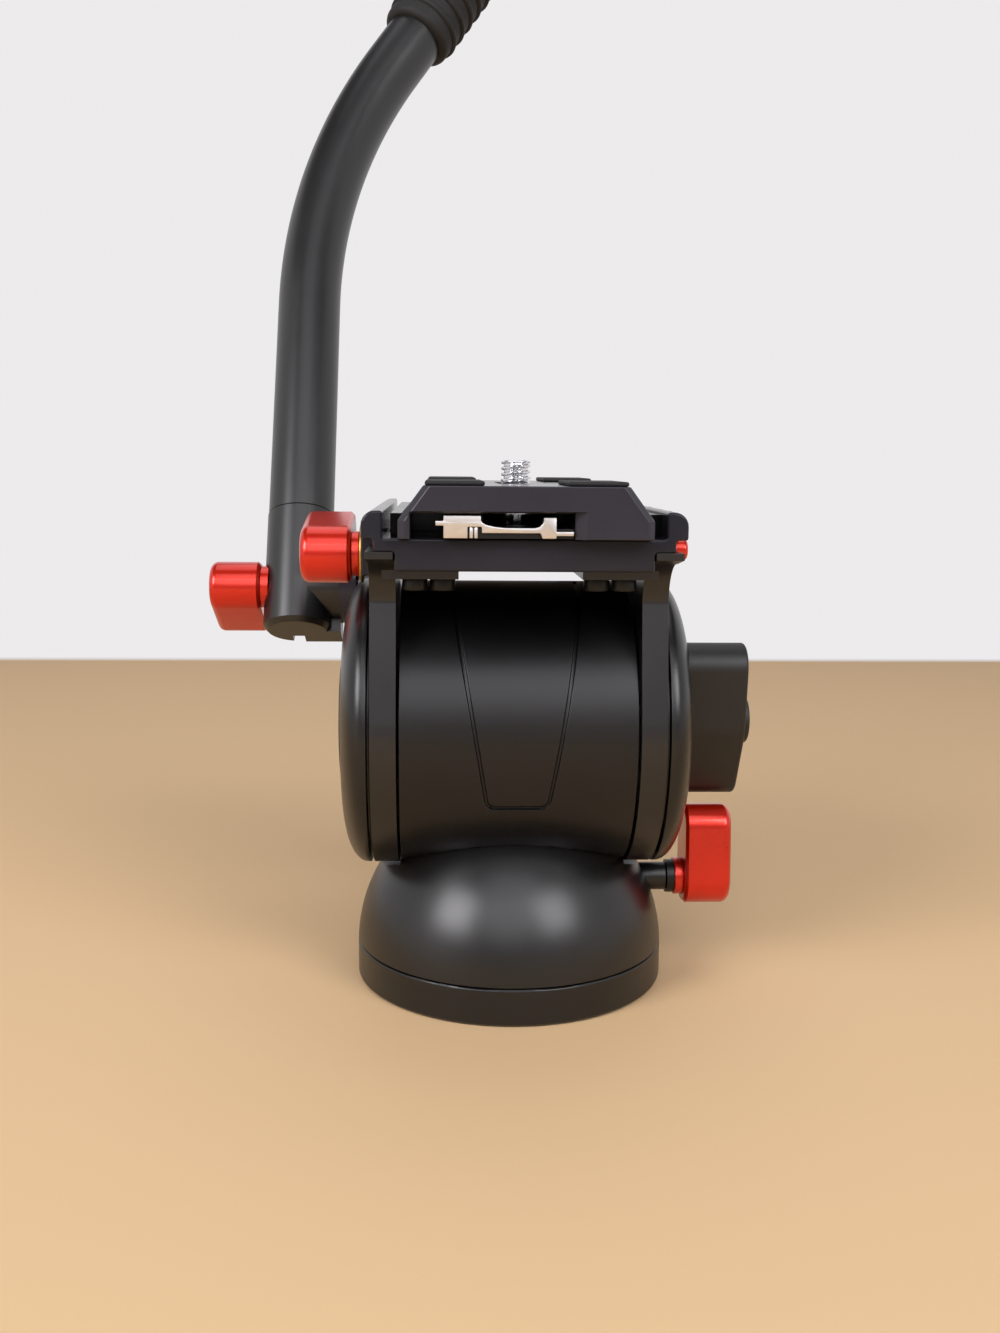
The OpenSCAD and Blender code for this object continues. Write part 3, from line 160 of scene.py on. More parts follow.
finishes = {
    "satinBlack": makeFinish("satinBlack", (0.0042, 0.0042, 0.0044), (0.0062, 0.006, 0.0062), (0.28, 0.36),
                             grain=3200, bump=0.3, depth=0.000012),
    "drumBlack": makeFinish("drumBlack", (0.0018, 0.0017, 0.0024), (0.0028, 0.0027, 0.0036), (0.33, 0.42),
                            grain=900, stretch=(9, 1, 1), bump=0.2, depth=0.00001, specular=0.45),
    "domeBlack": makeFinish("domeBlack", (0.0028, 0.0028, 0.0031), (0.004, 0.004, 0.0043), (0.3, 0.36),
                            grain=3000, bump=0.12, depth=0.000008, specular=0.6),
    "bedGrey": makeFinish("bedGrey", (0.016, 0.0156, 0.021), (0.02, 0.0195, 0.026), (0.14, 0.2),
                          grain=4200, bump=0.12, depth=0.000006, specular=0.2),
    # the jaws' near-black colour is partly their own black and partly painted shade of their recessed front ends
    "jawBlackAndShade": makeFinish("jawBlackAndShade", (0.0022, 0.0022, 0.0023), (0.0032, 0.0032, 0.0033), (0.14, 0.2),
                           grain=3600, bump=0.12, depth=0.000006, specular=0.08),
    "armBlack": makeFinish("armBlack", (0.003, 0.0029, 0.0037), (0.0042, 0.004, 0.005), (0.28, 0.36),
                           grain=3600, bump=0.25, depth=0.00001, specular=0.65),
    "tubeBlack": makeFinish("tubeBlack", (0.0038, 0.0038, 0.0041), (0.0055, 0.0054, 0.0058), (0.3, 0.38),
                            grain=3200, bump=0.2, depth=0.00001, specular=0.65),
    "glossBlack": makeFinish("glossBlack", (0.003, 0.003, 0.0032), (0.0045, 0.0045, 0.0047), (0.26, 0.34),
                             grain=1500, bump=0.05, depth=0.000006),
    "knobBlack": makeFinish("knobBlack", (0.0058, 0.0055, 0.0053), (0.0082, 0.0078, 0.0075), (0.42, 0.54),
                            grain=2400, bump=0.5, depth=0.00003),
    "anodisedGrey": makeFinish("anodisedGrey", (0.026, 0.0247, 0.032), (0.032, 0.0305, 0.039), (0.15, 0.21),
                               grain=4200, bump=0.12, depth=0.000006, specular=0.25),
    "anodisedRed": makeFinish("anodisedRed", (0.6, 0.013, 0.0007), (0.7, 0.018, 0.001), (0.26, 0.34),
                              metal=0.6, grain=5200, bump=0.3, depth=0.00001, coat=0.65, coatGloss=0.15,
                              specular=0.35),
    "steel": makeFinish("steel", (0.5, 0.5, 0.51), (0.6, 0.6, 0.61), (0.24, 0.4), metal=1.0,
                        grain=700, stretch=(1, 9, 9), bump=0.15, depth=0.00001),
    "catchSteel": makeFinish("catchSteel", (0.62, 0.6, 0.58), (0.72, 0.7, 0.68), (0.3, 0.46), metal=0.9,
                             grain=700, stretch=(1, 1, 9), bump=0.2, depth=0.00001),
    "blackSteel": makeFinish("blackSteel", (0.014, 0.014, 0.0145), (0.022, 0.022, 0.0225), (0.3, 0.44),
                             metal=0.6, grain=2500, bump=0.2, depth=0.00001),
    "chrome": makeFinish("chrome", (0.74, 0.74, 0.76), (0.8, 0.8, 0.82), (0.08, 0.16), metal=1.0,
                         grain=1800, bump=0.04, depth=0.000005),
    "brass": makeFinish("brass", (0.5, 0.31, 0.085), (0.6, 0.39, 0.12), (0.24, 0.38), metal=1.0,
                        grain=900, stretch=(9, 1, 1), bump=0.12, depth=0.00001),
    "rubberBlack": makeFinish("rubberBlack", (0.009, 0.009, 0.0095), (0.014, 0.014, 0.0145), (0.58, 0.74),
                              grain=1700, bump=0.55, depth=0.00004, specular=0.35),
    "plasticWhite": makeFinish("plasticWhite", (0.62, 0.6, 0.55), (0.7, 0.68, 0.62), (0.4, 0.55),
                               grain=2200, bump=0.2, depth=0.00001),
}
slotFinish = {
    "satin_black": "satinBlack", "gloss_black": "glossBlack", "knob_black": "knobBlack",
    "anodised_grey": "anodisedGrey", "anodised_red": "anodisedRed", "steel": "steel", "chrome": "chrome",
    "brass": "brass", "rubber_black": "rubberBlack", "plastic_white": "plasticWhite",
}
nodeFinish = {
    # the jaws take the near-black finish that carries painted shade of their recessed ends
    "tilt_drum": "drumBlack", "left_arm": "armBlack", "right_arm": "armBlack", "fixed_jaw": "jawBlackAndShade",
    "clamp_jaw": "jawBlackAndShade", "platform": "bedGrey", "pan_dome": "domeBlack", "handle_tube": "tubeBlack",
    "handle_socket": "tubeBlack", "left_cap_disc": "knobBlack", "platform_screws": "blackSteel",
    "jaw_screws": "blackSteel", "safety_catch": "blackSteel", "spindle_screws": "blackSteel",
    "pan_lock_screw": "blackSteel",
}


def finishOf(node):
    return finishes[nodeFinish.get(node, slotFinish[slotOf[node]])]


for node, part in nodes.items():
    part.data.materials.clear()
    part.data.materials.append(finishOf(node))
print("finishes made:", len(finishes))


# an object in the frame with one finish
def addPiece(name, mesh, finish):
    piece = bpy.data.objects.new(name, mesh)
    mesh.materials.clear()
    mesh.materials.append(finish)
    scene.collection.objects.link(piece)
    return piece


# turns the modifiers' result into a plain mesh, smooth up to the sharp angle in degrees
def settle(piece, sharp=40):
    depsgraph = bpy.context.evaluated_depsgraph_get()
    mesh = bpy.data.meshes.new_from_object(piece.evaluated_get(depsgraph), depsgraph=depsgraph)
    piece.modifiers.clear()
    old = piece.data
    piece.data = mesh
    bpy.data.meshes.remove(old)
    mesh.shade_smooth()
    mesh.set_sharp_from_angle(angle=math.radians(sharp))
    return piece


# rides with the solid that it stands for
def dress(piece, node):
    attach(piece, bodyOf[node])
    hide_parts(node)


def addBevel(piece, width, segments=2, limit=28, clamp=True):
    bevel = piece.modifiers.new("edges", "BEVEL")
    bevel.width = width
    bevel.segments = segments
    bevel.limit_method = "ANGLE"
    bevel.angle_limit = math.radians(limit)
    bevel.use_clamp_overlap = clamp
    bevel.miter_outer = "MITER_ARC"
    weighted = piece.modifiers.new("shading", "WEIGHTED_NORMAL")
    weighted.keep_sharp = True


# how far the edges of each solid are broken, in millimetres
edgeWidths = {
    "base_plate": 0.25, "pan_dome": 0.2, "tilt_drum": 0.24, "left_arm": 0.35, "right_arm": 0.35,
    "left_cap": 0.2, "right_cap": 0.2, "left_cap_disc": 0.2, "platform": 0.5, "fixed_jaw": 0.25,
    "clamp_jaw": 0.25, "plate_pads": 0.35, "clamp_washer": 0.1, "clamp_collar": 0.3,
    "pan_lock_collar": 0.25, "pan_lock_boss": 0.25, "tilt_lock_washer": 0.2, "handle_socket": 0.35,
    "handle_rosette": 0.12, "arm_rosette": 0.12, "release_button": 0.1, "handle_end_cap": 0.3,
    "handle_collar": 0.2, "safety_catch": 0.15,
}
edgeSet = {"weld": 0.000002, "flat": 0.4, "sharp": 50, "fullWidth": ("platform", "tilt_drum")}


# a copy of a solid with its edges broken
def edgedCopy(node, width):
    shape = bmesh.new()
    shape.from_mesh(nodes[node].data)
    bmesh.ops.remove_doubles(shape, verts=shape.verts, dist=edgeSet["weld"])
    bmesh.ops.dissolve_limit(shape, angle_limit=math.radians(edgeSet["flat"]), verts=shape.verts,
                             edges=shape.edges)
    mesh = bpy.data.meshes.new(node + "_edged")
    shape.to_mesh(mesh)
    shape.free()
    mesh.shade_smooth()
    piece = addPiece(node + "_edged", mesh, finishOf(node))
    addBevel(piece, width, clamp=node not in edgeSet["fullWidth"])
    dress(settle(piece, edgeSet["sharp"]), node)


for node, width in edgeWidths.items():
    edgedCopy(node, width * mm)
print("edged copies:", len(edgeWidths))


weldSet = {"merge": 0.000001, "sliver": 0.0000005}


# merges doubles, takes out slivers and turns the faces outwards
def closeMesh(mesh):
    shape = bmesh.new()
    shape.from_mesh(mesh)
    bmesh.ops.remove_doubles(shape, verts=shape.verts, dist=weldSet["merge"])
    bmesh.ops.dissolve_degenerate(shape, edges=shape.edges, dist=weldSet["sliver"])
    bmesh.ops.recalc_face_normals(shape, faces=shape.faces)
    shape.to_mesh(mesh)
    shape.free()


# outline round a chain of circles up Z, as (y, z) points, the same count for every inset
def chainOutline(circles, count):
    points = []
    for i in range(count):
        angle = 2 * math.pi * i / count
        across, up = math.cos(angle), math.sin(angle)
        place, r = max(circles, key=lambda circle: circle[0] * up + circle[1])
        points.append((r * across, place + r * up))
    return points


# a soft handle along X: layers of one outline, drawn in at the foot and rounded at the outer edge
def softHandle(name, circles, thick, foot, edge, count=120, steps=10, rings=6):
    layers = [(0, foot), (foot, 0)]
    layers += [(thick - edge + edge * math.sin(a), edge - edge * math.cos(a))
               for a in [math.pi / 2 * i / steps for i in range(steps + 1)]]
    verts = []
    for x, inset in layers:
        verts += [(x, y, z) for y, z in chainOutline([(place, r - inset) for place, r in circles], count)]
    faces = []
    for k in range(len(layers) + rings - 1):
        for i in range(count):
            j = (i + 1) % count
            faces.append((k * count + i, k * count + j, (k + 1) * count + j, (k + 1) * count + i))
    # the outer face closes in rings towards its middle
    rim = verts[-count:]
    for k in range(1, rings + 1):
        share = 1 - k / rings
        verts += [(x, y * share, z * share) for x, y, z in rim]
    faces.append(tuple(range(count - 1, -1, -1)))
    mesh = bpy.data.meshes.new(name)
    mesh.from_pydata(verts, [], faces)
    return mesh


leverSet = {"hub": 6.2, "tip": 5.2, "reach": 12, "foot": 0.7, "edge": 1.9}
leverPlaces = {
    "clamp_lever": {"joint": "clamp_turn", "turn": -74, "side": -1},
    "handle_lever": {"joint": "handle_lock_turn", "turn": -126, "side": -1},
    "pan_lock_lever": {"joint": "pan_lock_turn", "turn": 0, "side": 1},
}
barSet = {"hub": 8.2, "end": 5.6, "reach": 13.1, "foot": 0.5, "edge": 0.8, "bossR": 5.5, "bossHigh": 1.6,
          "bossEdge": 0.6, "joint": "tilt_lock_turn", "turn": 17}


# sets a handle on its joint's axis, its foot where the solid's foot is
def placed(mesh, node, joint, turn, side=1):
    low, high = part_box(node)
    place = jointPlace[joint].copy()
    place.x = low[0] if side > 0 else high[0]
    mesh.transform(Matrix.Diagonal((side * mm, mm, mm, 1)))
    mesh.transform(Matrix.Translation(place) @ Matrix.Rotation(math.radians(turn), 4, "X"))
    closeMesh(mesh)


def thickness(node):
    low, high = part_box(node)
    return (high[0] - low[0]) / mm


def makeLevers():
    circles = [(0, leverSet["hub"]), (leverSet["reach"], leverSet["tip"])]
    for node, spot in leverPlaces.items():
        mesh = softHandle(node + "_soft", circles, thickness(node), leverSet["foot"], leverSet["edge"])
        placed(mesh, node, spot["joint"], spot["turn"], spot["side"])
        dress(settle(addPiece(node + "_soft", mesh, finishOf(node))), node)


# the tilt lock's bar, with a round boss on its hub
def makeBar():
    node = "tilt_lock_bar"
    size = barSet
    circles = [(-size["reach"], size["end"]), (0, size["hub"]), (size["reach"], size["end"])]
    thick = thickness(node) - size["bossHigh"]
    bar = softHandle(node + "_soft", circles, thick, size["foot"], size["edge"])
    boss = softHandle("boss", [(0, size["bossR"])], thickness(node), size["foot"], size["bossEdge"])
    for mesh in (bar, boss):
        placed(mesh, node, size["joint"], size["turn"])
    piece = addPiece(node + "_soft", bar, finishOf(node))
    stub = addPiece("boss", boss, finishOf(node))
    joined = piece.modifiers.new("boss", "BOOLEAN")
    joined.operation = "UNION"
    joined.object = stub
    settle(piece)
    bpy.data.objects.remove(stub)
    dress(piece, node)


makeLevers()
makeBar()
print("levers made")


flankSet = {"slope": 5.2, "crest": 0.8}


# a wall with a helical thread, up Z: radius by height and angle
def threadRows(low, high, crest, depth, pitch, rows, count, runOut):
    ring = []
    for k in range(rows + 1):
        z = low + (high - low) * k / rows
        fade = min(1, (z - low) / runOut, (high - z) / runOut)
        row = []
        for i in range(count):
            angle = 2 * math.pi * i / count
            phase = (z / pitch - i / count) % 1
            groove = min(1, max(0, flankSet["slope"] * abs(phase - 0.5) - flankSet["crest"]))
            r = crest - depth * groove * max(0, fade)
            row.append((r * math.cos(angle), r * math.sin(angle), z))
        ring.append(row)
    return ring


# a circle of points at one height
def turnedRow(r, z, count):
    return [(r * math.cos(2 * math.pi * i / count), r * math.sin(2 * math.pi * i / count), z)
            for i in range(count)]


# skins rows of points, closed at both ends or joined into a loop
def ringMesh(name, rows, loop=False):
    count = len(rows[0])
    verts = [point for row in rows for point in row]
    faces = []
    pairs = len(rows) if loop else len(rows) - 1
    for k in range(pairs):
        m = (k + 1) % len(rows)
        for i in range(count):
            j = (i + 1) % count
            faces.append((k * count + i, k * count + j, m * count + j, m * count + i))
    if not loop:
        faces.append(tuple(range(count - 1, -1, -1)))
        faces.append(tuple(range((len(rows) - 1) * count, len(rows) * count)))
    mesh = bpy.data.meshes.new(name)
    mesh.from_pydata(verts, [], faces)
    return mesh


plateSet = {
    "lip": 3.4, "topHalf": 19.4, "side": 1.3, "edge": 0.22, "edgeSteps": 3, "below": 2,
    "hollow": (-21.9, 9.2), "hollowTop": 107.3, "hollowBack": -16.5,
    "mouth": 0.4, "mouthRight": 2.1, "mouthShares": (1.6, 1, 0),
    "channel": 8, "channelBack": 13, "overlap": 1,
    "slot": 3.675, "slotEnds": (-19.3, 10.3), "slotEdge": 0.4,
}


# a closed piece between rows of points, in millimetres
def rowsPiece(name, rows):
    mesh = ringMesh(name, rows)
    mesh.transform(Matrix.Scale(mm, 4))
    closeMesh(mesh)
    return addPiece(name, mesh, finishOf("plate_body"))


# the camera plate: a dovetail bar, hollow below, with a mouth in front and a slot for the screw
def makePlate():
    size = plateSet
    low, high = [Vector(corner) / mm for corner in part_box("plate_body")]
    half = [(high.x, low.z), (high.x, low.z + size["lip"]), (size["topHalf"], high.z)]
    side = size["side"]
    rows = []
    for y, inset in ((low.y, side), (low.y + side, 0), (high.y - side, 0), (high.y, side)):
        rows.append([(x - inset, y, z) for x, z in half] + [(inset - x, y, z) for x, z in half[::-1]])
    piece = rowsPiece("plate_body_cut", rows)
    addBevel(piece, size["edge"] * mm, size["edgeSteps"], clamp=False)
    settle(piece, sharp=50)
    left, right = size["hollow"]
    top = size["hollowTop"]
    foot = low.z - size["below"]

    # at share 1 the mouth is in the front face, at 0 it has narrowed to the hollow
    def mouthRow(share):
        grow = size["mouth"] * share
        growRight = size["mouthRight"] * share
        y = low.y + size["mouth"] - grow
        yRight = low.y + size["mouthRight"] - growRight
        return [(left - grow, y, foot), (right + growRight, yRight, foot),
                (right + growRight, yRight, top + grow), (left - grow, y, top + grow)]

    def slotRow(z, grow):
        across = size["slot"] + grow
        front, back = size["slotEnds"]
        return [(-across, front - grow, z), (across, front - grow, z), (across, back + grow, z),
                (-across, back + grow, z)]

    wide = size["channel"]
    inner = [(left, foot), (right, foot), (right, top), (left, top)]
    channel = [(-wide, foot), (wide, foot), (wide, top), (-wide, top)]
    channelEnds = (size["hollowBack"] - size["overlap"], size["channelBack"])
    edge = size["slotEdge"]
    cuts = [
        rowsPiece("hollowCut", [mouthRow(share) for share in size["mouthShares"]]
                  + [[(x, size["hollowBack"], z) for x, z in inner]]),
        rowsPiece("channelCut", [[(x, y, z) for x, z in channel] for y in channelEnds]),
        rowsPiece("slotCut", [slotRow(foot, 0), slotRow(high.z - edge, 0),
                              slotRow(high.z + edge, 2 * edge)]),
    ]
    for block in cuts:
        away = piece.modifiers.new(block.name, "BOOLEAN")
        away.operation = "DIFFERENCE"
        away.object = block
    settle(piece, sharp=35)
    piece.data.shade_flat()
    for block in cuts:
        bpy.data.objects.remove(block)
    dress(piece, "plate_body")


screwSet = {
    "place": (0, -9, 0), "sides": 72, "head": 7, "headLow": 103.1, "headHigh": 106.3,
    "headFoot": ((0.5, 0), (0.15, 0.12), (0, 0.5)), "headEdge": 0.2, "neck": 2.475,
    "threadLow": 112.4, "threadTop": 116.95, "threadRows": 70, "runOut": 0.5,
    "crest": 3.175, "depth": 0.62, "pitch": 1.27, "top": 117.3, "tip": ((0.35, 0.1), (0.6, 0)),
    "slot": 0.8, "slotLong": 30, "slotDeep": 1.6,
}


def makeCameraScrew():
    size = screwSet
    count = size["sides"]
    head = size["head"]
    headLow = size["headLow"]
    headHigh = size["headHigh"]
    profile = [(head - inset, headLow + up) for inset, up in size["headFoot"]]
    profile += [(head, headHigh - size["headEdge"]), (head - size["headEdge"], headHigh)]
    profile += [(size["neck"], headHigh), (size["neck"], size["threadLow"])]
    rows = [turnedRow(r, z, count) for r, z in profile]
    rows += threadRows(size["threadLow"], size["threadTop"], size["crest"], size["depth"], size["pitch"],
                       size["threadRows"], count, size["runOut"])
    rows += [turnedRow(size["crest"] - inset, size["top"] - down, count) for inset, down in size["tip"]]
    mesh = ringMesh("camera_screw_turned", rows)
    mesh.transform(Matrix.Translation(size["place"]))
    mesh.transform(Matrix.Scale(mm, 4))
    closeMesh(mesh)
    piece = addPiece("camera_screw_turned", mesh, finishOf("camera_screw"))
    cutter = bpy.data.meshes.new("slotCut")
    block = bmesh.new()
    bmesh.ops.create_cube(block, size=1)
    block.to_mesh(cutter)
    block.free()
    bladeSize = (2 * size["slot"] * mm, size["slotLong"] * mm, 2 * size["slotDeep"] * mm, 1)
    bladePlace = (0, size["place"][1] * mm, headLow * mm)
    cutter.transform(Matrix.Translation(bladePlace) @ Matrix.Diagonal(bladeSize))
    blade = bpy.data.objects.new("slotCut", cutter)
    scene.collection.objects.link(blade)
    slot = piece.modifiers.new("slot", "BOOLEAN")
    slot.operation = "DIFFERENCE"
    slot.object = blade
    settle(piece, sharp=38)
    bpy.data.objects.remove(blade)
    dress(piece, "camera_screw")


# the lead-in and lead-out are a widening and a height
insertSet = {
    "sides": 72, "bore": 4.0, "depth": 0.75, "pitch": 1.5875, "threadRows": 110, "runOut": 0.4,
    "low": 0, "high": 10.4, "leadIn": (0.5, 0.3), "leadOut": (0.3, 0.2),
    "body": 6.5, "bodyEdge": 0.25, "flange": 9.5, "flangeLow": 8.4, "flangeEdge": 0.3,
}


def makeInsert():
    size = insertSet
    count = size["sides"]
    low = size["low"]
    high = size["high"]
    wideIn, highIn = size["leadIn"]
    wideOut, highOut = size["leadOut"]
    rows = [turnedRow(size["bore"] + wideIn, low, count)]
    rows += threadRows(low + highIn, high - highOut, size["bore"], -size["depth"], size["pitch"],
                       size["threadRows"], count, size["runOut"])
    rows += [turnedRow(r, z, count) for r, z in (
        (size["bore"] + wideOut, high), (size["flange"] - size["flangeEdge"], high),
        (size["flange"], high - size["flangeEdge"]), (size["flange"], size["flangeLow"]),
        (size["body"], size["flangeLow"]), (size["body"], low + size["bodyEdge"]),
        (size["body"] - size["bodyEdge"], low))]
    mesh = ringMesh("thread_insert_cut", rows, loop=True)
    mesh.transform(Matrix.Scale(mm, 4))
    closeMesh(mesh)
    piece = addPiece("thread_insert_cut", mesh, finishOf("thread_insert"))
    dress(settle(piece, sharp=38), "thread_insert")


makePlate()
makeCameraScrew()
makeInsert()
print("plate and threads cut")


screwSides = {"head": 36, "socket": 6, "shank": 24}


# socket screws set on points: cone or cylinder head, hexagon socket, shank
def makeScrewTree():
    tree = bpy.data.node_groups.new("socketScrews", "GeometryNodeTree")
    face = tree.interface
    face.new_socket("Points", in_out="INPUT", socket_type="NodeSocketGeometry")
    keys = {}
    for label in ("Head Radius", "Foot Radius", "Head Height", "Socket Radius", "Socket Depth",
                  "Shank Radius", "Shank Length"):
        keys[label] = face.new_socket(label, in_out="INPUT", socket_type="NodeSocketFloat").identifier
    keys["Turn"] = face.new_socket("Turn", in_out="INPUT", socket_type="NodeSocketVector").identifier
    keys["Finish"] = face.new_socket("Finish", in_out="INPUT", socket_type="NodeSocketMaterial").identifier
    face.new_socket("Screws", in_out="OUTPUT", socket_type="NodeSocketGeometry")
    enter = addNode(tree, "NodeGroupInput")
    leave = addNode(tree, "NodeGroupOutput")

    def scaled(label, by):
        times = addNode(tree, "ShaderNodeMath", {1: by}, operation="MULTIPLY")
        tree.links.new(enter.outputs[label], times.inputs[0])
        return times.outputs["Value"]

    def raised(shape, height):
        up = addNode(tree, "ShaderNodeCombineXYZ")
        tree.links.new(height, up.inputs["Z"])
        move = addNode(tree, "GeometryNodeTransform")
        tree.links.new(shape, move.inputs["Geometry"])
        tree.links.new(up.outputs["Vector"], move.inputs["Translation"])
        return move.outputs["Geometry"]

    head = addNode(tree, "GeometryNodeMeshCone", {"Vertices": screwSides["head"]})
    tree.links.new(enter.outputs["Head Radius"], head.inputs["Radius Top"])
    tree.links.new(enter.outputs["Foot Radius"], head.inputs["Radius Bottom"])
    tree.links.new(enter.outputs["Head Height"], head.inputs["Depth"])
    recess = addNode(tree, "GeometryNodeMeshCylinder", {"Vertices": screwSides["socket"]})
    tree.links.new(enter.outputs["Socket Radius"], recess.inputs["Radius"])
    tree.links.new(scaled("Socket Depth", 2), recess.inputs["Depth"])
    cutAway = addNode(tree, "GeometryNodeMeshBoolean", operation="DIFFERENCE")
    tree.links.new(head.outputs["Mesh"], cutAway.inputs["Mesh 1"])
    tree.links.new(raised(recess.outputs["Mesh"], enter.outputs["Head Height"]), cutAway.inputs["Mesh 2"])
    shank = addNode(tree, "GeometryNodeMeshCylinder", {"Vertices": screwSides["shank"]})
    tree.links.new(enter.outputs["Shank Radius"], shank.inputs["Radius"])
    tree.links.new(enter.outputs["Shank Length"], shank.inputs["Depth"])
    whole = addNode(tree, "GeometryNodeJoinGeometry")
    tree.links.new(cutAway.outputs["Mesh"], whole.inputs["Geometry"])
    tree.links.new(raised(shank.outputs["Mesh"], scaled("Shank Length", -0.5)), whole.inputs["Geometry"])
    spots = addNode(tree, "GeometryNodeInstanceOnPoints")
    tree.links.new(enter.outputs["Points"], spots.inputs["Points"])
    tree.links.new(whole.outputs["Geometry"], spots.inputs["Instance"])
    tree.links.new(enter.outputs["Turn"], spots.inputs["Rotation"])
    real = addNode(tree, "GeometryNodeRealizeInstances")
    tree.links.new(spots.outputs["Instances"], real.inputs["Geometry"])
    coat = addNode(tree, "GeometryNodeSetMaterial")
    tree.links.new(real.outputs["Geometry"], coat.inputs["Geometry"])
    tree.links.new(enter.outputs["Finish"], coat.inputs["Material"])
    tree.links.new(coat.outputs["Geometry"], leave.inputs["Screws"])
    return tree, keys


screwSets = {
    "platform_screws": {
        "points": [(sx * x, sy * 27, 93.5) for sx in (-1, 1) for sy in (-1, 1) for x in (15.7, 21.3)],
        "Head Radius": 2.6, "Foot Radius": 2.6, "Head Height": 2.5,
        "Socket Radius": 1.5, "Socket Depth": 1.3, "Shank Radius": 1.5, "Shank Length": 7,
        "Turn": (math.pi, 0, 0), "edge": 0.25},
    "jaw_screws": {
        "points": [(29.48, y, 104.8) for y in (-26, 0, 26)],
        "Head Radius": 2.5, "Foot Radius": 2.5, "Head Height": 1.5,
        "Socket Radius": 1.25, "Socket Depth": 0.9, "Shank Radius": 1.25, "Shank Length": 3.8,
        "Turn": (0, math.pi / 2, 0), "edge": 0.2},
    "spindle_screws": {
        "points": [(13.25 * math.cos(a), 13.25 * math.sin(a), 2)
                   for a in [math.pi / 4 + math.pi / 2 * i for i in range(4)]],
        "Head Radius": 3.75, "Foot Radius": 2.0, "Head Height": 1.8,
        "Socket Radius": 1.6, "Socket Depth": 1.3, "Shank Radius": 2.0, "Shank Length": 9.6,
        "Turn": (math.pi, 0, 0), "edge": 0.12},
}


def makeScrews():
    tree, keys = makeScrewTree()
    for node, values in screwSets.items():
        mesh = bpy.data.meshes.new(node + "_set")
        mesh.from_pydata([Vector(p) * mm for p in values["points"]], [], [])
        piece = addPiece(node + "_set", mesh, finishOf(node))
        grow = piece.modifiers.new("screws", "NODES")
        grow.node_group = tree
        for label, key in keys.items():
            if label == "Turn":
                grow[key] = values[label]
            elif label == "Finish":
                grow[key] = finishOf(node)
            else:
                grow[key] = values[label] * mm
        addBevel(piece, values["edge"] * mm, limit=40)
        dress(settle(piece), node)


makeScrews()
print("screws set")


# bright sheet on the front of the catch, with two pins in its dark slot
catchSet = {
    "floor": 102.4, "front": -47.3, "back": -46.4, "edge": 0.12,
    "pins": (-10.4, -9.5), "pinR": 0.37, "pinLow": 0.25, "pinHigh": 2.3, "pinSides": 20,
    "left": [(-15.6, 0.25), (-15.6, 2.6), (-17.1, 2.6), (-17.1, 3.46), (-15.6, 3.46), (-15.6, 4.5),
             (-8.6, 4.5)],
    "dip": [(-8.6, 3.6), (-8.35, 3.15), (-7.7, 2.8), (-6.0, 2.4), (-3.9, 2.2), (1.6, 2.2), (2.4, 2.45),
            (3.0, 2.95), (3.24, 3.6)],
    "right": [(3.24, 4.15), (5.6, 4.15), (5.6, 1.54), (8.9, 1.54), (8.9, 0.77), (5.6, 0.77), (5.6, 0.25),
              (3.0, 0.25), (2.6, 1.25), (-8.4, 1.25), (-8.4, 2.4), (-11.1, 2.4), (-11.1, 0.25)],
}


def makeCatchSheet():
    size = catchSet
    outline = [(x, size["floor"] + up) for x, up in size["left"] + size["dip"] + size["right"]]
    mesh = ringMesh("catch_sheet", [[(x, y, z) for x, z in outline] for y in (size["front"], size["back"])])
    mesh.transform(Matrix.Scale(mm, 4))
    shape = bmesh.new()
    shape.from_mesh(mesh)
    middle = (size["front"] + size["back"]) / 2
    height = size["pinHigh"] - size["pinLow"]
    radius = size["pinR"] * mm
    for x in size["pins"]:
        at = Vector((x, middle, size["floor"] + size["pinLow"] + height / 2)) * mm
        bmesh.ops.create_cone(shape, cap_ends=True, segments=size["pinSides"], radius1=radius,
                              radius2=radius, depth=height * mm, matrix=Matrix.Translation(at))
    bmesh.ops.recalc_face_normals(shape, faces=shape.faces)
    shape.to_mesh(mesh)
    shape.free()
    piece = addPiece("catch_sheet", mesh, finishes["catchSteel"])
    addBevel(piece, size["edge"] * mm, limit=40)
    settle(piece)
    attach(piece, bodyOf["safety_catch"])


makeCatchSheet()
print("catch sheet made")


handleSet = {"lean": 27, "foot": 19, "straight": 62.5, "bend": 160, "angle": 30, "upper": 128, "tube": 8.2,
             "wall": 1.5, "edge": 0.35, "sides": 80, "bendSteps": 36}


# the handle's own frame, up its straight foot
def handleFrame():
    return (Matrix.Translation(jointPlace["handle_swing"])
            @ Matrix.Rotation(math.radians(-handleSet["lean"]), 4, "X") @ Matrix.Scale(mm, 4))


# the frame at an angle along the bend, inside the handle's own
def bendAt(angle):
    radius = handleSet["bend"]
    lift = handleSet["foot"] + handleSet["straight"] + radius * math.sin(angle)
    return Matrix.Translation((radius * (1 - math.cos(angle)), 0, lift)) @ Matrix.Rotation(angle, 4, "Y")


def makeTube():
    steps = handleSet["bendSteps"]
    foot = handleSet["foot"]
    angle = math.radians(handleSet["angle"])
    stops = [(Matrix.Translation((0, 0, foot)), handleSet["edge"])]
    stops.append((Matrix.Translation((0, 0, foot + handleSet["edge"])), 0))
    stops += [(bendAt(angle * i / steps), 0) for i in range(steps + 1)]
    stops.append((bendAt(angle) @ Matrix.Translation((0, 0, handleSet["upper"])), 0))
    outer = []
    inner = []
    for stop, inset in stops:
        for rows, r in ((outer, handleSet["tube"] - inset), (inner, handleSet["tube"] - handleSet["wall"])):
            rows.append([tuple(stop @ Vector(point)) for point in turnedRow(r, 0, handleSet["sides"])])
    mesh = ringMesh("handle_tube_bent", outer + inner[::-1], loop=True)
    mesh.transform(handleFrame())
    closeMesh(mesh)
    dress(settle(addPiece("handle_tube_bent", mesh, finishOf("handle_tube"))), "handle_tube")


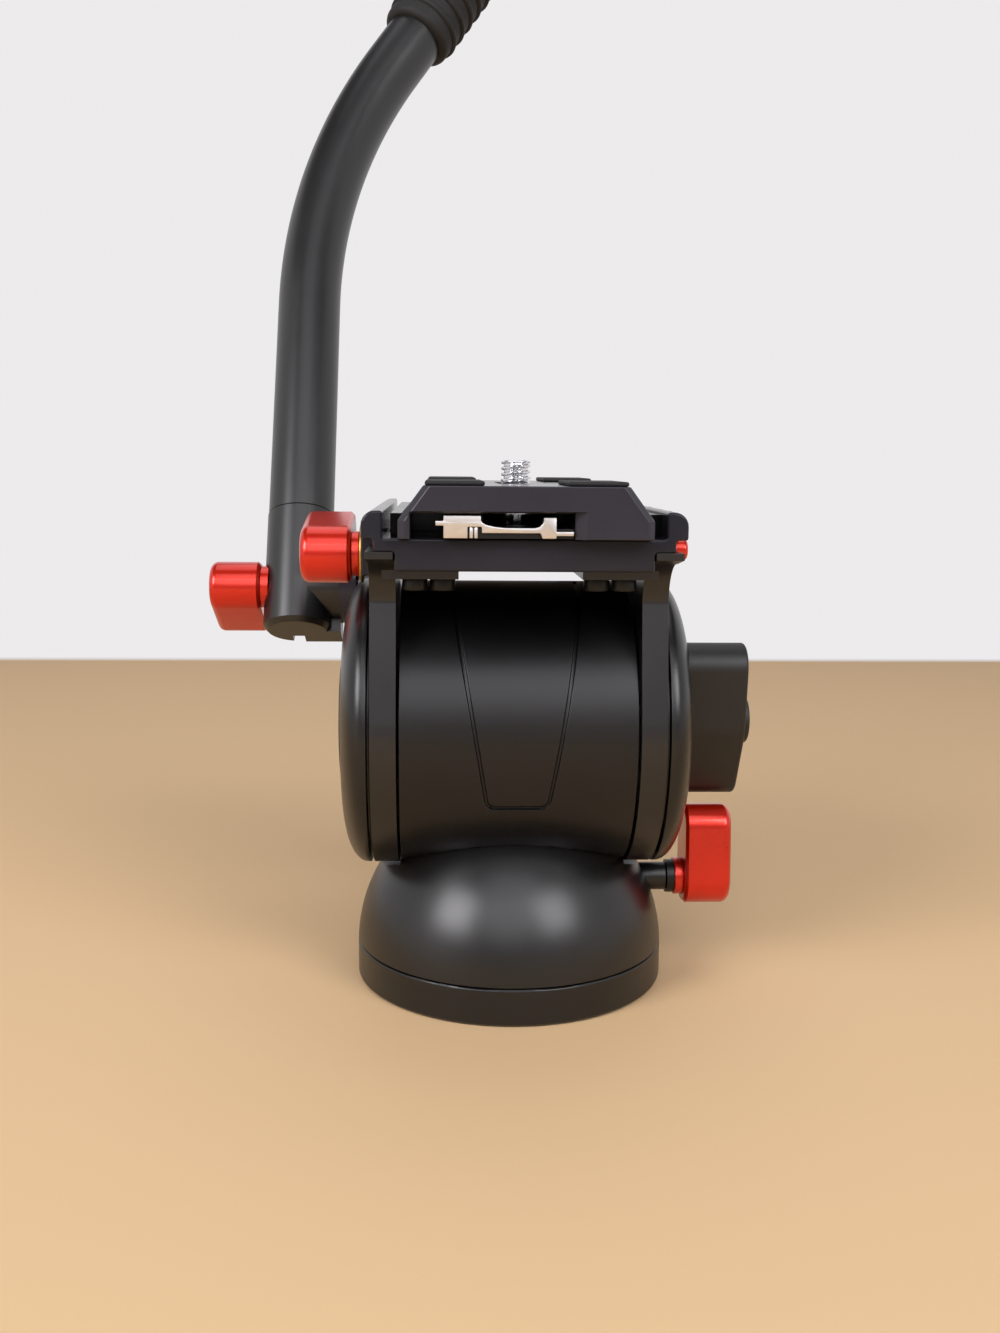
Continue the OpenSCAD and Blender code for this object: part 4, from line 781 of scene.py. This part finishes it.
gripSet = {"bore": 8.25, "start": 12, "end": 128, "core": 10.2, "edge": 2, "edgeSteps": 6, "sides": 80,
           "rings": 22, "first": 17.5, "pitch": 5.0, "ringRadius": 9.95, "ringThick": 1.05}
ringSides = {"hoop": 64, "section": 14}


# ring ribs in a row up Z, on the grip before it is set at the end of the bend
def makeRingTree():
    tree = bpy.data.node_groups.new("gripRings", "GeometryNodeTree")
    face = tree.interface
    face.new_socket("Grip", in_out="INPUT", socket_type="NodeSocketGeometry")
    keys = {}
    keys["Rings"] = face.new_socket("Rings", in_out="INPUT", socket_type="NodeSocketInt").identifier
    for label in ("Ring Radius", "Ring Thickness"):
        keys[label] = face.new_socket(label, in_out="INPUT", socket_type="NodeSocketFloat").identifier
    for label in ("First", "Pitch"):
        keys[label] = face.new_socket(label, in_out="INPUT", socket_type="NodeSocketVector").identifier
    keys["Finish"] = face.new_socket("Finish", in_out="INPUT", socket_type="NodeSocketMaterial").identifier
    face.new_socket("Ribbed Grip", in_out="OUTPUT", socket_type="NodeSocketGeometry")
    enter = addNode(tree, "NodeGroupInput")
    leave = addNode(tree, "NodeGroupOutput")
    row = addNode(tree, "GeometryNodeMeshLine")
    tree.links.new(enter.outputs["Rings"], row.inputs["Count"])
    tree.links.new(enter.outputs["First"], row.inputs["Start Location"])
    tree.links.new(enter.outputs["Pitch"], row.inputs["Offset"])
    hoop = addNode(tree, "GeometryNodeCurvePrimitiveCircle", {"Resolution": ringSides["hoop"]})
    tree.links.new(enter.outputs["Ring Radius"], hoop.inputs["Radius"])
    section = addNode(tree, "GeometryNodeCurvePrimitiveCircle", {"Resolution": ringSides["section"]})
    tree.links.new(enter.outputs["Ring Thickness"], section.inputs["Radius"])
    ring = addNode(tree, "GeometryNodeCurveToMesh")
    tree.links.new(hoop.outputs["Curve"], ring.inputs["Curve"])
    tree.links.new(section.outputs["Curve"], ring.inputs["Profile Curve"])
    spots = addNode(tree, "GeometryNodeInstanceOnPoints")
    tree.links.new(row.outputs["Mesh"], spots.inputs["Points"])
    tree.links.new(ring.outputs["Mesh"], spots.inputs["Instance"])
    real = addNode(tree, "GeometryNodeRealizeInstances")
    tree.links.new(spots.outputs["Instances"], real.inputs["Geometry"])
    whole = addNode(tree, "GeometryNodeJoinGeometry")
    tree.links.new(enter.outputs["Grip"], whole.inputs["Geometry"])
    tree.links.new(real.outputs["Geometry"], whole.inputs["Geometry"])
    coat = addNode(tree, "GeometryNodeSetMaterial")
    tree.links.new(whole.outputs["Geometry"], coat.inputs["Geometry"])
    tree.links.new(enter.outputs["Finish"], coat.inputs["Material"])
    tree.links.new(coat.outputs["Geometry"], leave.inputs["Ribbed Grip"])
    return tree, keys


def makeGrip():
    size = gripSet
    edge = size["edge"]
    steps = size["edgeSteps"]
    turns = [math.pi / 2 * i / steps for i in range(steps + 1)]
    shoulder = size["core"] - edge
    profile = [(size["bore"], size["start"])]
    profile += [(shoulder + edge * math.sin(a), size["start"] + edge - edge * math.cos(a)) for a in turns]
    profile += [(shoulder + edge * math.cos(a), size["end"] - edge + edge * math.sin(a)) for a in turns]
    profile.append((size["bore"], size["end"]))
    mesh = ringMesh("handle_grip_ribbed", [turnedRow(r, z, size["sides"]) for r, z in profile], loop=True)
    closeMesh(mesh)
    piece = addPiece("handle_grip_ribbed", mesh, finishOf("handle_grip"))
    tree, keys = makeRingTree()
    grow = piece.modifiers.new("rings", "NODES")
    grow.node_group = tree
    grow[keys["Rings"]] = size["rings"]
    grow[keys["Ring Radius"]] = size["ringRadius"]
    grow[keys["Ring Thickness"]] = size["ringThick"]
    grow[keys["First"]] = (0, 0, size["first"])
    grow[keys["Pitch"]] = (0, 0, size["pitch"])
    grow[keys["Finish"]] = finishOf("handle_grip")
    settle(piece, sharp=50)
    piece.data.transform(handleFrame() @ bendAt(math.radians(handleSet["angle"])))
    dress(piece, "handle_grip")


makeTube()
makeGrip()
print("handle made")


# plain studio: a pale board on the floor of a pale room, soft lamps in front
stageSet = {
    "board": (0.7, 0.485, 0.265), "boardRough": 0.7, "boardSide": 1.0, "boardFront": -1.0,
    "boardBack": 0.485, "soft": 0.008, "lift": (0.001, 0.002),
    "room": (0.845, 0.83, 0.84), "front": (0.3, 0.3, 0.31), "fadeStart": -1.2, "half": 2.5, "height": 2.4,
}
lampSet = [
    {"name": "leftLamp", "turn": -50, "rise": 29, "reach": 1.15, "size": (0.52, 0.52), "power": 8.5},
    {"name": "rightLamp", "turn": 37, "rise": 31, "reach": 1.15, "size": (0.52, 0.52), "power": 6.3},
    {"name": "frontLamp", "turn": -4, "rise": 32, "reach": 1.2, "size": (0.8, 0.4), "power": 2.0},
    {"name": "lowLamp", "turn": -4, "rise": 19, "reach": 1.2, "size": (0.6, 0.25), "power": 0.7},
    {"name": "overLamp", "turn": 0, "rise": 52, "reach": 1.2, "size": (0.8, 0.6), "power": 2.7},
    {"name": "backLamp", "turn": 170, "rise": 72, "reach": 1.3, "size": (1.0, 1.0), "power": 4.0},
]
lampColour = (0.985, 0.965, 1.0)
lampAim = (0, 0, 0.07)
worldSet = {"colour": (0.92, 0.94, 1.0), "strength": 0.12}


# the room glows evenly where it is seen or mirrored, and the board keeps the shadow
def makeStage():
    size = stageSet
    half = size["half"]
    corners = [(-half, -half), (half, -half), (half, half), (-half, half)]
    verts = [(x, y, z) for z in (0, size["height"]) for x, y in corners]
    faces = [(0, 1, 2, 3)] + [(i, i + 4, (i + 1) % 4 + 4, (i + 1) % 4) for i in range(4)]
    mesh = bpy.data.meshes.new("studio")
    mesh.from_pydata(verts, [], faces)
    material = bpy.data.materials.new("studioPaper")
    material.use_nodes = True
    tree = material.node_tree
    shader = tree.nodes["Principled BSDF"]
    shader.inputs["Roughness"].default_value = size["boardRough"]
    coords = addNode(tree, "ShaderNodeTexCoord")
    split = addNode(tree, "ShaderNodeSeparateXYZ")
    tree.links.new(coords.outputs["Object"], split.inputs["Vector"])
    across = addNode(tree, "ShaderNodeMath", operation="ABSOLUTE")
    tree.links.new(split.outputs["X"], across.inputs[0])
    along = split.outputs["Y"]
    soft = size["soft"]
    outside = spread(tree, split.outputs["Z"], 0, 1, *size["lift"])
    for value, edge, way in ((across.outputs["Value"], size["boardSide"], 1), (along, size["boardBack"], 1),
                             (along, size["boardFront"], -1)):
        beyond = spread(tree, value, 0, 1, edge - way * soft, edge + way * soft)
        outside = combine(tree, "MAXIMUM", outside, beyond)
    tree.links.new(mixColour(tree, outside, size["board"], size["room"]), shader.inputs["Base Color"])
    rays = addNode(tree, "ShaderNodeLightPath").outputs
    seen = combine(tree, "MAXIMUM", rays["Is Camera Ray"], rays["Is Glossy Ray"])
    seen = combine(tree, "MAXIMUM", seen, rays["Is Transmission Ray"])
    glow = addNode(tree, "ShaderNodeEmission", {"Strength": 1})
    # towards the camera's side the mirrored room fades to grey
    fade = spread(tree, along, 0, 1, size["fadeStart"], -half)
    fade = combine(tree, "MULTIPLY", fade, rays["Is Glossy Ray"])
    tree.links.new(mixColour(tree, fade, size["room"], size["front"]), glow.inputs["Color"])
    mixed = addNode(tree, "ShaderNodeMixShader")
    tree.links.new(combine(tree, "MULTIPLY", seen, outside), mixed.inputs[0])
    tree.links.new(shader.outputs["BSDF"], mixed.inputs[1])
    tree.links.new(glow.outputs["Emission"], mixed.inputs[2])
    tree.links.new(mixed.outputs["Shader"], tree.nodes["Material Output"].inputs["Surface"])
    addPiece("studio", mesh, material)


def makeLamps():
    for values in lampSet:
        data = bpy.data.lights.new(values["name"], "AREA")
        data.shape = "RECTANGLE"
        data.size, data.size_y = values["size"]
        data.energy = values["power"]
        data.color = lampColour
        turn = math.radians(values["turn"])
        rise = math.radians(values["rise"])
        away = Vector((math.sin(turn) * math.cos(rise), -math.cos(turn) * math.cos(rise), math.sin(rise)))
        lamp = bpy.data.objects.new(values["name"], data)
        lamp.visible_camera = False
        lamp.location = Vector(lampAim) + away * values["reach"]
        lamp.rotation_euler = away.to_track_quat("Z", "Y").to_euler()
        scene.collection.objects.link(lamp)
    world = bpy.data.worlds.new("room")
    world.use_nodes = True
    world.node_tree.nodes["Background"].inputs["Color"].default_value = (*worldSet["colour"], 1)
    world.node_tree.nodes["Background"].inputs["Strength"].default_value = worldSet["strength"]
    scene.world = world
    scene.view_settings.view_transform = "Standard"


makeStage()
makeLamps()
print("stage and lamps set")
